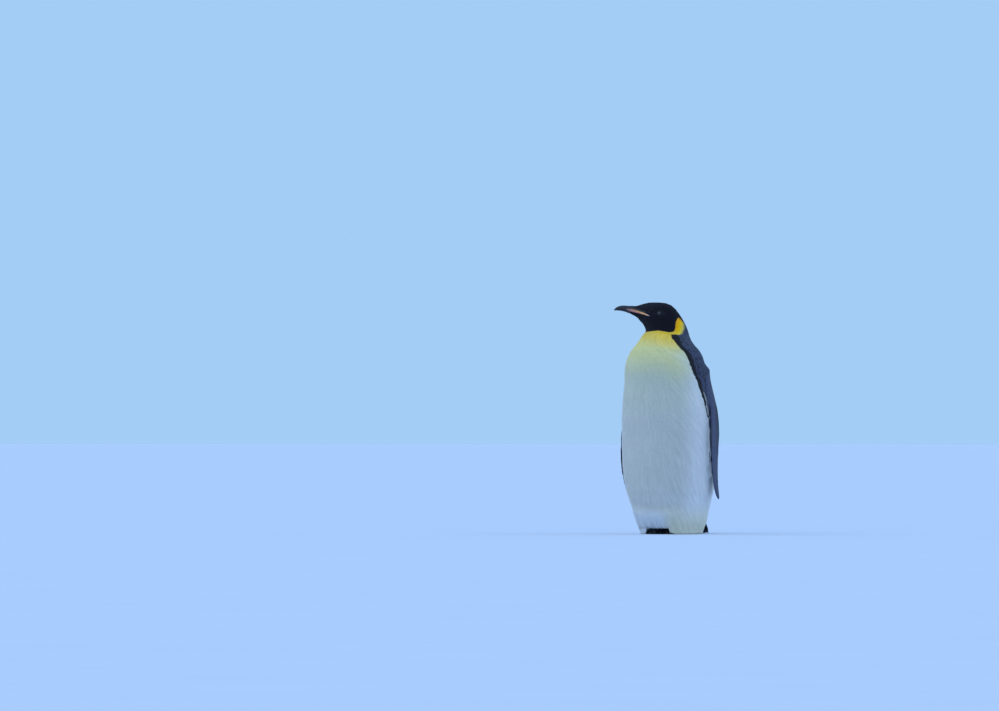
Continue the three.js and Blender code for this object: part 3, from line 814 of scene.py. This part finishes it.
def coatTree():
    tree = bpy.data.node_groups.new("coat", "GeometryNodeTree")
    face = tree.interface
    face.new_socket("Geometry", in_out="INPUT", socket_type="NodeSocketGeometry")
    for name in ("Spacing", "Length", "Width", "Lift", "Ruffle"):
        face.new_socket(name, in_out="INPUT", socket_type="NodeSocketFloat")
    face.new_socket("Seed", in_out="INPUT", socket_type="NodeSocketInt")
    face.new_socket("Vane", in_out="INPUT", socket_type="NodeSocketObject")
    face.new_socket("Finish", in_out="INPUT", socket_type="NodeSocketMaterial")
    face.new_socket("Geometry", in_out="OUTPUT", socket_type="NodeSocketGeometry")

    def node(kind, settings=None, sockets=None):
        made = tree.nodes.new(kind)
        for key, value in (settings or {}).items():
            setattr(made, key, value)
        for key, value in (sockets or {}).items():
            if isinstance(value, bpy.types.NodeSocket):
                tree.links.new(value, made.inputs[key])
            else:
                made.inputs[key].default_value = value
        return made

    def number(operation, a, b=0.0):
        return node("ShaderNodeMath", {"operation": operation}, {0: a, 1: b}).outputs[0]

    def attribute(name, kind):
        made = node("GeometryNodeInputNamedAttribute", {"data_type": kind}, {"Name": name})
        return made.outputs["Attribute"]

    def chance(low, high, step):
        made = node("FunctionNodeRandomValue", {"data_type": "FLOAT"},
                    {2: low, 3: high, "Seed": number("ADD", given.outputs["Seed"], step)})
        return made.outputs[1]

    given = node("NodeGroupInput")
    spacing = given.outputs["Spacing"]
    most = number("DIVIDE", 2.2, number("MULTIPLY", spacing, spacing))
    roots = node("GeometryNodeDistributePointsOnFaces", {"distribute_method": "POISSON"},
                 {"Mesh": given.outputs["Geometry"], "Distance Min": spacing, "Density Max": most,
                  "Density Factor": attribute("cover", "FLOAT"), "Seed": given.outputs["Seed"]})
    facing = node("FunctionNodeAxesToRotation", {"primary_axis": "Z", "secondary_axis": "X"},
                  {0: attribute("up", "FLOAT_VECTOR"), 1: attribute("lay", "FLOAT_VECTOR")})
    ruffle = given.outputs["Ruffle"]
    yaw = number("MULTIPLY", chance(-1.0, 1.0, 11), ruffle)
    roll = number("MULTIPLY", chance(-0.6, 0.6, 12), ruffle)
    lift = number("MULTIPLY", given.outputs["Lift"], number("MULTIPLY", chance(-1.5, -0.5, 13),
                                                            attribute("stand", "FLOAT")))
    turn = node("ShaderNodeCombineXYZ", {}, {0: roll, 1: lift, 2: yaw})
    spin = node("FunctionNodeEulerToRotation", {}, {0: turn.outputs[0]})
    turned = node("FunctionNodeRotateRotation", {"rotation_space": "LOCAL"},
                  {0: facing.outputs[0], 1: spin.outputs[0]})
    size = attribute("size", "FLOAT")
    long = number("MULTIPLY", number("MULTIPLY", given.outputs["Length"], size), chance(0.82, 1.16, 14))
    wide = number("MULTIPLY", number("MULTIPLY", given.outputs["Width"], size), chance(0.86, 1.14, 15))
    scale = node("ShaderNodeCombineXYZ", {}, {0: long, 1: wide, 2: long})
    vane = node("GeometryNodeObjectInfo", {}, {"Object": given.outputs["Vane"], "As Instance": True})
    laid = node("GeometryNodeInstanceOnPoints", {},
                {"Points": roots.outputs["Points"], "Instance": vane.outputs["Geometry"],
                 "Rotation": turned.outputs[0], "Scale": scale.outputs[0]})
    where = node("GeometryNodeInputPosition")
    stored = node("GeometryNodeStoreNamedAttribute", {"data_type": "FLOAT_VECTOR", "domain": "INSTANCE"},
                  {"Geometry": laid.outputs[0], "Name": "root", "Value": where.outputs[0]})
    stored = node("GeometryNodeStoreNamedAttribute", {"data_type": "FLOAT", "domain": "INSTANCE"},
                  {"Geometry": stored.outputs[0], "Name": "variety", "Value": chance(0.0, 1.0, 16)})
    real = node("GeometryNodeRealizeInstances", {}, {"Geometry": stored.outputs[0]})
    done = node("GeometryNodeSetMaterial", {}, {"Geometry": real.outputs[0],
                                                 "Material": given.outputs["Finish"]})
    node("NodeGroupOutput", {}, {0: done.outputs[0]})
    return tree


coatNodes = coatTree()


def setInput(modifier, name, value):
    for item in modifier.node_group.interface.items_tree:
        if item.item_type == "SOCKET" and item.in_out == "INPUT" and item.name == name:
            modifier[item.identifier] = value


def feathered(name, mask, spec, tones, unwrap, cover=None, size=None, stand=None, marked=True):
    faces = [p.vertices[:] for p in skinMesh.polygons]
    keep = [f for f in faces if all(mask[v] for v in f)]
    used = np.unique(np.concatenate([np.array(f) for f in keep]))
    renumber = -np.ones(len(skinPoints), int)
    renumber[used] = np.arange(len(used))
    base = ownMesh(name, skinPoints[used], [[int(renumber[v]) for v in f] for f in keep])
    setVector(base.data, "up", skinNormals[used])
    setVector(base.data, "lay", skinLay[used])
    ones = np.ones(len(used))
    setFloat(base.data, "cover", ones if cover is None else cover[used])
    setFloat(base.data, "size", ones if size is None else size[used])
    setFloat(base.data, "stand", ones if stand is None else stand[used])
    mod = base.modifiers.new("coat", "NODES")
    mod.node_group = coatNodes
    for key in ("Spacing", "Length", "Width", "Lift", "Ruffle", "Seed", "Vane", "Finish"):
        setInput(mod, key, spec[key])
    settled(base)
    mesh = base.data
    root = getVector(mesh, "root")
    leaf = getVector(mesh, "leaf")
    setColour(mesh, "tone", tones(root, unit(getVector(mesh, "up"))))
    setFloat(mesh, "mark", bodyMark(root) if marked else np.zeros(len(root)))
    points = coordsOf(mesh)
    points[:, 2] = np.maximum(points[:, 2], 0.0004)
    setCoords(mesh, points)
    patch = unwrap(root) + (leaf[:, :2] - 0.5) * 0.003
    layer = mesh.uv_layers.new(name="OFBake")
    corner = np.empty(len(mesh.loops), np.int32)
    mesh.loops.foreach_get("vertex_index", corner)
    layer.data.foreach_set("uv", np.clip(patch[corner], 0, 1).astype(np.float32).ravel())
    smoothShaded(mesh)
    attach(base, "root")
    print(name, len(mesh.polygons), "faces")
    return base


def plumeFinish(name, look):
    finish = Finish(name)
    tone = finish.attribute("tone", "Color")
    variety = finish.attribute("variety")
    mark = finish.attribute("mark")
    leaf = finish.attribute("leaf", "Vector")
    far = finish.node("ShaderNodeSeparateXYZ", {}, {0: leaf})
    across = finish.node("ShaderNodeSeparateXYZ", {}, {0: leaf}, 1)
    offset = finish.node("ShaderNodeCombineXYZ", {}, {0: variety * 31.0, 1: variety * 17.0, 2: 0.0})
    moved = finish.node("ShaderNodeVectorMath", {"operation": "ADD"}, {0: leaf, 1: offset})
    barbs = finish.noise(finish.scaled(moved, (5.0, 26.0, 1.0)), 1.0, 2.0)
    shaft = finish.span(finish.node("ShaderNodeMath", {"operation": "ABSOLUTE"}, {0: across - 0.5}),
                        0.0, 0.06, 1.0, 0.0)
    depth = finish.span(far, 0.0, 0.75, 1.0, 0.0)
    edge = finish.span(far, 0.70, 0.98, 0.0, 1.0)
    spread = (variety - 0.5) * 2.0
    shade = ((1.0 - depth * (look["root"] + mark * 0.42))
             * (1.0 + spread * (look["vary"] + mark * 0.16))
             * finish.span(barbs, 0.3, 0.7, 1 - look["barb"], 1 + look["barb"])
             * (1.0 + edge * (look["tip"] + mark * 0.38))
             * (1.0 - shaft * (look["shaft"] + mark * 0.25)))
    return finish.close({"Base Color": finish.shaded(tone, shade),
                         "Roughness": finish.span(barbs, 0.3, 0.7, look["rough"], look["rough"] + 0.14),
                         "Specular IOR Level": look["gloss"], "Sheen Weight": look["sheen"],
                         "Sheen Roughness": 0.5,
                         "Normal": finish.bump(barbs, 0.5, look["barbHeight"])})


plumeLooks = {
    "belly_feathers": {"root": 0.09, "vary": 0.035, "barb": 0.04, "tip": 0.02, "shaft": 0.03, "rough": 0.66,
                       "gloss": 0.20, "sheen": 0.06, "barbHeight": 0.0001},
    "breast_feathers": {"root": 0.10, "vary": 0.045, "barb": 0.05, "tip": 0.02, "shaft": 0.03, "rough": 0.66,
                        "gloss": 0.20, "sheen": 0.06, "barbHeight": 0.0001},
    "head_feathers": {"root": 0.14, "vary": 0.08, "barb": 0.06, "tip": 0.04, "shaft": 0.03, "rough": 0.60,
                      "gloss": 0.08, "sheen": 0.0, "barbHeight": 0.0001},
    "back_feathers": {"root": 0.12, "vary": 0.07, "barb": 0.08, "tip": 0.05, "shaft": 0.06, "rough": 0.58,
                      "gloss": 0.20, "sheen": 0.04, "barbHeight": 0.0001},
    "tail_feathers": {"root": 0.1, "vary": 0.15, "barb": 0.15, "tip": 0.1, "shaft": -0.8, "rough": 0.45,
                      "gloss": 0.3, "sheen": 0.0, "barbHeight": 0.0003},
}
plumeFinishes = {name: plumeFinish(name, look) for name, look in plumeLooks.items()}


def roundUnwrap(points):
    off = points - axisPoint
    turn = np.arctan2(off[:, 0], -off[:, 1]) / (2 * math.pi) + 0.5
    return np.stack([0.01 + 0.98 * turn, 0.01 + 0.98 * points[:, 2] / tall], 1)


def headUnwrap(points):
    u, w = headPlace(points)
    turn = np.arctan2(w, points[:, 2] - 0.915) / (2 * math.pi) + 0.5
    return np.stack([0.01 + 0.98 * turn, 0.05 + 0.9 * (u + 0.16) / 0.27], 1)


def flipperUnwrap(name):
    low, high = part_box(name)
    side = 1 if name == "flipper_left" else -1
    middle = flipperRows[name]

    def unwrap(points):
        x = np.interp(points[:, 2], middle[:, 0], middle[:, 3])
        outer = ((points[:, 0] - x) * side > 0).astype(float)
        across = (points[:, 1] - low.y) / (high.y - low.y)
        return np.stack([0.02 + 0.46 * across + 0.5 * outer,
                         0.02 + 0.96 * (points[:, 2] - low.z) / (high.z - low.z)], 1)
    return unwrap


def flatUnwrap(low, high):
    def unwrap(points):
        return np.stack([0.02 + 0.96 * (points[:, 0] - low.x) / (high.x - low.x),
                         0.02 + 0.96 * (points[:, 1] - low.y) / (high.y - low.y)], 1)
    return unwrap


def dressBody():
    coat = {"Spacing": 0.00195, "Length": 0.0125, "Width": 0.0040, "Lift": 0.075, "Ruffle": 0.11}
    z = skinPoints[:, 2]
    angle, _ = sideAngle(skinPoints)
    body = (skinKinds == "trunk") & (z > 0.034) & (z < 0.80)
    size = along(z, [(0.03, 0.9), (0.15, 1.0), (0.60, 1.0), (0.82, 0.80)])
    past = np.abs(angle) - along(z / mm, plumage["edge"])
    fringe = rise(-z, -0.085, -0.036)
    size = size * (1 + 0.5 * fringe)
    stand = 1 + 1.0 * fringe
    lower = body & (z < 0.47)
    upper = body & (z >= 0.465)
    pieces = [
        ("coat_belly_left", lower & (np.abs(angle) < 122) & (angle >= -0.6), "belly_feathers"),
        ("coat_belly_right", lower & (np.abs(angle) < 122) & (angle <= 0.6), "belly_feathers"),
        ("coat_breast", upper & (past < 1.5), "breast_feathers"),
        ("coat_back_upper", upper & (past > -1.5), "back_feathers"),
        ("coat_back_lower", lower & (np.abs(angle) > 120), "back_feathers"),
    ]
    for seed, (name, mask, slot) in enumerate(pieces):
        spec = dict(coat, Seed=seed + 3, Vane=bodyVane, Finish=plumeFinishes[slot], slot=slot)
        feathered(name, mask, spec, bodyTone, roundUnwrap, size=size, stand=stand)


def dressHead():
    z = skinPoints[:, 2]
    u, _ = headPlace(skinPoints)
    fleshy = np.isin(skinKinds, ["neck", "head", "trunk", "eye", "bill"])
    neck = fleshy & (z >= 0.795) & (z < 0.866)
    spec = {"Spacing": 0.0018, "Length": 0.0100, "Width": 0.0036, "Lift": 0.08, "Ruffle": 0.10, "Seed": 31,
            "Vane": bodyVane, "Finish": plumeFinishes["back_feathers"], "slot": "breast_feathers"}
    feathered("coat_neck", neck, spec, bodyTone, roundUnwrap, size=along(z, [(0.80, 1.02), (0.866, 0.74)]))
    eyeSpots = [np.array(sum(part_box(name), Vector()) / 2) for name in eyeNames]
    apart = np.min([np.linalg.norm(skinPoints - s, axis=1) for s in eyeSpots], axis=0)
    head = (np.isin(skinKinds, ["head", "eye", "neck"])) & (z >= 0.862)
    face = rise(u, -0.115, -0.02)
    size = (0.62 + 0.38 * face) * (0.36 + 0.64 * rise(apart, 0.011, 0.022))
    spec = dict(spec, Spacing=0.0014, Length=0.0068, Width=0.0027, Seed=41, Vane=smallVane, Lift=0.085,
                Finish=plumeFinishes["head_feathers"], slot="head_feathers")
    feathered("coat_head", head, spec, bodyTone, headUnwrap, cover=rise(apart, 0.0103, 0.0118), size=size,
              marked=False)


def dressFlippers():
    for seed, name in enumerate(("flipper_left", "flipper_right")):
        mask = skinOwner == coreNames.index(name)
        spec = {"Spacing": 0.0018, "Length": 0.0056, "Width": 0.0030, "Lift": 0.08, "Ruffle": 0.08,
                "Seed": 51 + seed, "Vane": smallVane, "Finish": plumeFinishes["back_feathers"],
                "slot": "back_feathers"}
        low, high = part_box(name)
        size = along(skinPoints[:, 2],
                     [(low.z, 0.5), (low.z + 0.03, 0.75), (low.z + 0.1, 0.9), (high.z - 0.08, 1.0),
                      (high.z, 1.7)])

        def tones(points, normals, name=name):
            return flipperTone(points, normals, name)
        feathered("coat_" + name, mask, spec, tones, flipperUnwrap(name), size=size, marked=False)


def dressLegs():
    # the feathers of the legs and flanks hang on from the belly's to the floor, open over the toes
    z = skinPoints[:, 2]
    mask = np.isin(skinKinds, ["leg", "trunk"]) & (z > 0.006) & (z < 0.038) & (skinNormals[:, 2] > -0.5)
    spec = {"Spacing": 0.00195, "Length": 0.0150, "Width": 0.0042, "Lift": 0.07, "Ruffle": 0.10, "Seed": 61,
            "Vane": bodyVane, "Finish": plumeFinishes["belly_feathers"], "slot": "belly_feathers"}

    def tones(points, normals):
        # within 14 mm of the floor the tone darkens by up to 22%: painted shade where the feathers meet the floor
        return bodyTone(points) * (1 - 0.22 * rise(-points[:, 2], -0.014, 0.0))[:, None]
    feathered("coat_legs", mask, spec, tones, roundUnwrap, marked=False)


def dressFeet():
    scale = ownMesh("vane_scale", [(0, 0, 0.10)] + [(0.5 * math.cos(a), 0.5 * math.sin(a), -0.04) for a in
                    (k * math.pi / 3 for k in range(6))], [(0, k + 1, (k + 1) % 6 + 1) for k in range(6)])
    setVector(scale.data, "leaf", coordsOf(scale.data) + np.array([0.5, 0.5, 0]))
    bpy.context.scene.collection.objects.unlink(scale)
    mask = (skinKinds == "foot") & (skinNormals[:, 2] > -0.35)
    low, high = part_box("foot_left")
    low = Vector((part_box("foot_right")[0].x, low.y, 0))
    spec = {"Spacing": 0.0024, "Length": 0.0034, "Width": 0.0032, "Lift": 0.02, "Ruffle": 0.10, "Seed": 81,
            "Vane": scale, "Finish": footFinish("foot_skin"), "slot": "foot_skin"}

    def tones(points, normals):
        return np.tile(np.array((0.150, 0.154, 0.180)), (len(points), 1)) * (
            1 + 0.3 * ripple(points, 0.02, 14))[:, None]
    feathered("foot_scales", mask, spec, tones, flatUnwrap(low, high), marked=False)
    bpy.data.objects.remove(scale)


def footFinish(name):
    finish = Finish(name)
    tone = finish.attribute("tone", "Color")
    variety = finish.attribute("variety")
    place = finish.place()
    creases = finish.noise(place, 700.0, 3.0)
    return finish.close({"Base Color": finish.shaded(tone, finish.span(variety, 0.0, 1.0, 0.7, 1.5)),
                         "Roughness": finish.span(creases, 0.3, 0.7, 0.40, 0.62),
                         "Specular IOR Level": 0.4, "Normal": finish.bump(creases, 0.3, 0.0003)})


tailShape = {"feathers": 14, "length": 12, "half": 0.0092, "thick": 0.00045, "fan": 0.047, "root": 0.030,
             "tuck": 0.026}


def makeTail():
    low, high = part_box("tail")
    mesh = nodes["tail"].data
    ground = BVHTree.FromPolygons([tuple(p) for p in coordsOf(mesh)],
                                  [tuple(f.vertices) for f in mesh.polygons])
    points, faces, leaf, root, variety = [], [], [], [], []
    steps = tailShape["length"]
    chances = np.random.default_rng(5)
    for k in range(tailShape["feathers"]):
        fan = 2 * k / (tailShape["feathers"] - 1) - 1
        start = np.array([fan * tailShape["root"], low.y - 0.006, high.z])
        end = np.array([fan * tailShape["fan"], high.y - 0.004 - tailShape["tuck"] * fan * fan
                        + chances.uniform(-0.003, 0.002), low.z])
        luck = chances.uniform()
        line = []
        for i in range(steps + 1):
            t = i / steps
            spot = start * (1 - t) + end * t
            hit = ground.ray_cast(Vector((spot[0], spot[1], 0.4)), Vector((0, 0, -1)))[0]
            height = hit.z if hit else start[2] * (1 - t) + 0.004 * t
            line.append(np.array([spot[0], spot[1], height - 0.0012 - 0.0036 * abs(fan)]))
        line = np.array(line)
        for _ in range(2):
            line[1:-1] = (line[:-2] + line[1:-1] * 2 + line[2:]) / 4
        for i in range(steps + 1):
            t = i / steps
            way = line[min(i + 1, steps)] - line[max(i - 1, 0)]
            way = way / np.linalg.norm(way)
            side = np.cross(way, [0, 0, 1.0])
            side = side / np.linalg.norm(side)
            up = np.cross(side, way)
            half = tailShape["half"] * min(1.0, 0.55 + t) * math.sqrt(max(1 - (max(t - 0.72, 0) / 0.285) ** 2, 0.02))
            lean = fan * 0.30
            for across, lift in ((-1, 0), (0, 1), (1, 0), (0, -0.6)):
                high3 = up * (lift * tailShape["thick"] * (1.2 - 0.6 * t) - across * lean * half * 0.3)
                spot = line[i] + side * across * half + high3
                points.append((spot[0], spot[1], max(spot[2], 0.0006)))
                leaf.append((t * 0.7, 0.5 + across * 0.5, 0))
                root.append(line[0])
                variety.append(luck)
        first = len(points) - 4 * (steps + 1)
        for i in range(steps):
            a = first + 4 * i
            for m in range(4):
                n = (m + 1) % 4
                faces.append((a + m, a + 4 + m, a + 4 + n, a + n))
        faces.append((first, first + 1, first + 2, first + 3))
        a = first + 4 * steps
        faces.append((a + 3, a + 2, a + 1, a))
    tail = ownMesh("tail_feathers_long", points, faces)
    work = bmesh.new()
    work.from_mesh(tail.data)
    bmesh.ops.recalc_face_normals(work, faces=work.faces)
    work.to_mesh(tail.data)
    work.free()
    setVector(tail.data, "leaf", np.array(leaf))
    setFloat(tail.data, "variety", np.array(variety))
    setFloat(tail.data, "mark", np.zeros(len(points)))
    setColour(tail.data, "tone", np.tile(np.array((0.012, 0.012, 0.016)), (len(points), 1)))
    patch = flatUnwrap(low, high)(np.array(root)) + (np.array(leaf)[:, :2] - 0.5) * 0.003
    layer = tail.data.uv_layers.new(name="OFBake")
    corner = np.empty(len(tail.data.loops), np.int32)
    tail.data.loops.foreach_get("vertex_index", corner)
    layer.data.foreach_set("uv", np.clip(patch[corner], 0, 1).astype(np.float32).ravel())
    smoothShaded(tail.data)
    tail.data.materials.append(plumeFinishes["tail_feathers"])
    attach(tail, "root")
    spec = {"Spacing": 0.0036, "Length": 0.0170, "Width": 0.0066, "Lift": 0.05, "Ruffle": 0.08, "Seed": 91,
            "Vane": bodyVane, "Finish": plumeFinishes["tail_feathers"], "slot": "tail_feathers"}

    def tones(points, normals):
        black = np.tile(np.array((0.013, 0.014, 0.020)), (len(points), 1))
        ragged = 0.012 * ripple(points, 0.02, 15) + 0.006 * ripple(points, 0.007, 16)
        return mixed(black, plumage["slate"], rise(points[:, 2] + ragged, 0.074, 0.098))
    feathered("coat_tail", (skinKinds == "tail") & (skinPoints[:, 2] > 0.016), spec, tones,
              flatUnwrap(low, high), marked=False)


dressBody()
dressHead()
dressFlippers()
dressLegs()
dressFeet()
makeTail()


# ---- bill, eyes, claws ------------------------------------------------------------------------

def refined(name, voxel, rounds, swell=0.0):
    obj = remeshed(name + "_fine", [name], swell, voxel)
    mesh = obj.data
    points = relax(coordsOf(mesh), edgesOf(mesh), rounds, np.full(len(mesh.vertices), 0.5))
    setCoords(mesh, points)
    smoothShaded(mesh)
    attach(obj, "root")
    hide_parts(name)
    return obj


def hornFinish(name, colour, glow, rough):
    finish = Finish(name)
    place = finish.place()
    turned = finish.node("ShaderNodeMapping", {"vector_type": "POINT"},
                         {"Vector": place, "Rotation": (0, 0, -math.radians(30)), "Scale": (60, 900, 900)})
    streaks = finish.noise(turned, 1.0, 3.0)
    wear = finish.noise(place, 60.0, 3.0)
    base = finish.blend(finish.span(streaks, 0.35, 0.75), colour, glow)
    base = finish.shaded(base, finish.span(wear, 0.3, 0.7, 0.8, 1.15))
    return finish.close({"Base Color": base, "Roughness": finish.span(wear, 0.3, 0.7, rough, rough + 0.18),
                         "Specular IOR Level": 0.5, "Normal": finish.bump(streaks, 0.25, 0.0003)})


def plateFinish():
    finish = Finish("bill_plate_skin")
    place = finish.place()
    turned = finish.node("ShaderNodeMapping", {"vector_type": "POINT"},
                         {"Vector": place, "Rotation": (0, 0, -math.radians(30))})
    reach = finish.node("ShaderNodeSeparateXYZ", {}, {0: turned})
    height = finish.node("ShaderNodeSeparateXYZ", {}, {0: turned}, 2)
    near, far = -0.2145, -0.104
    length = finish.node("ShaderNodeMapRange", {}, {"Value": reach, "From Min": near, "From Max": far})
    upper = finish.node("ShaderNodeValToRGB", {"stops": [
        (0.0, (0.42, 0.23, 0.05)), (0.25, (0.70, 0.33, 0.08)), (0.60, (0.94, 0.41, 0.09)),
        (0.84, (0.94, 0.46, 0.15)), (0.96, (0.72, 0.50, 0.48))]}, {0: length})
    lower = finish.node("ShaderNodeValToRGB", {"stops": [
        (0.0, (0.13, 0.08, 0.08)), (0.18, (0.36, 0.19, 0.20)), (0.34, (0.52, 0.22, 0.22)),
        (0.55, (0.66, 0.29, 0.20)), (0.80, (0.84, 0.40, 0.16)), (0.96, (0.66, 0.48, 0.50))]}, {0: length})
    under = height - (0.9562 - (reach + 0.148) * 0.30)
    wax = finish.noise(place, 260.0, 3.0)
    colour = finish.blend(finish.span(under, -0.001, 0.007), lower, upper)
    colour = finish.shaded(colour, finish.span(wax, 0.3, 0.7, 0.88, 1.08))
    return finish.close({"Base Color": colour, "Roughness": finish.span(wax, 0.3, 0.7, 0.48, 0.60), "Specular IOR Level": 0.3,
                         "Subsurface Weight": 0.05, "Subsurface Radius": (0.004, 0.002, 0.001),
                         "Normal": finish.bump(wax, 0.15, 0.0003)})


def makeBill():
    horn = hornFinish("bill_horn", (0.008, 0.009, 0.014), (0.015, 0.017, 0.028), 0.40)
    plate = plateFinish()
    for name in billNames:
        obj = refined(name, 0.0010, 5, 0.00022)
        obj.data.materials.clear()
        obj.data.materials.append(plate if "plate" in name else horn)


def makeEyes():
    finish = Finish("eye_ball")
    gaze = finish.attribute("gaze")
    place = finish.place()
    rays = finish.noise(place, 900.0, 2.0)
    iris = finish.blend(finish.span(rays, 0.3, 0.7), (0.010, 0.006, 0.005), (0.030, 0.016, 0.010))
    white = finish.blend(finish.span(gaze, 0.60, 0.66), (0.030, 0.027, 0.050), iris)
    colour = finish.blend(finish.span(gaze, 0.925, 0.94), white, (0.003, 0.003, 0.004))
    ball = finish.close({"Base Color": colour, "Roughness": finish.span(rays, 0.3, 0.7, 0.10, 0.16),
                         "Specular IOR Level": 0.35, "Coat Weight": 0.5, "Coat Roughness": 0.04})
    for name in eyeNames:
        spot = sum(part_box(name), Vector()) / 2
        facing = eyeFacing(name)
        work = bmesh.new()
        bmesh.ops.create_uvsphere(work, u_segments=48, v_segments=32, radius=lids["radius"])
        mesh = bpy.data.meshes.new(name + "_ball")
        work.to_mesh(mesh)
        work.free()
        obj = bpy.data.objects.new(name + "_ball", mesh)
        bpy.context.scene.collection.objects.link(obj)
        points = coordsOf(mesh)
        gazeNow = unit(points) @ facing
        points = points + facing[None, :] * (0.0007 * rise(gazeNow, 0.74, 0.98))[:, None] + np.array(spot)
        setCoords(mesh, points)
        setFloat(mesh, "gaze", gazeNow)
        smoothShaded(mesh)
        mesh.materials.append(ball)
        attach(obj, "root")
        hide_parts(name)


def makeClaws():
    horn = hornFinish("claw_horn", (0.012, 0.011, 0.012), (0.05, 0.042, 0.036), 0.35)
    for name in sorted(n for n in nodes if n.startswith("claw_")):
        obj = refined(name, 0.0008, 8)
        obj.data.materials.clear()
        obj.data.materials.append(horn)


makeBill()
makeEyes()
makeClaws()
print("bill, eyes and claws made")

for spare in (bodyVane, smallVane):
    bpy.data.objects.remove(spare)
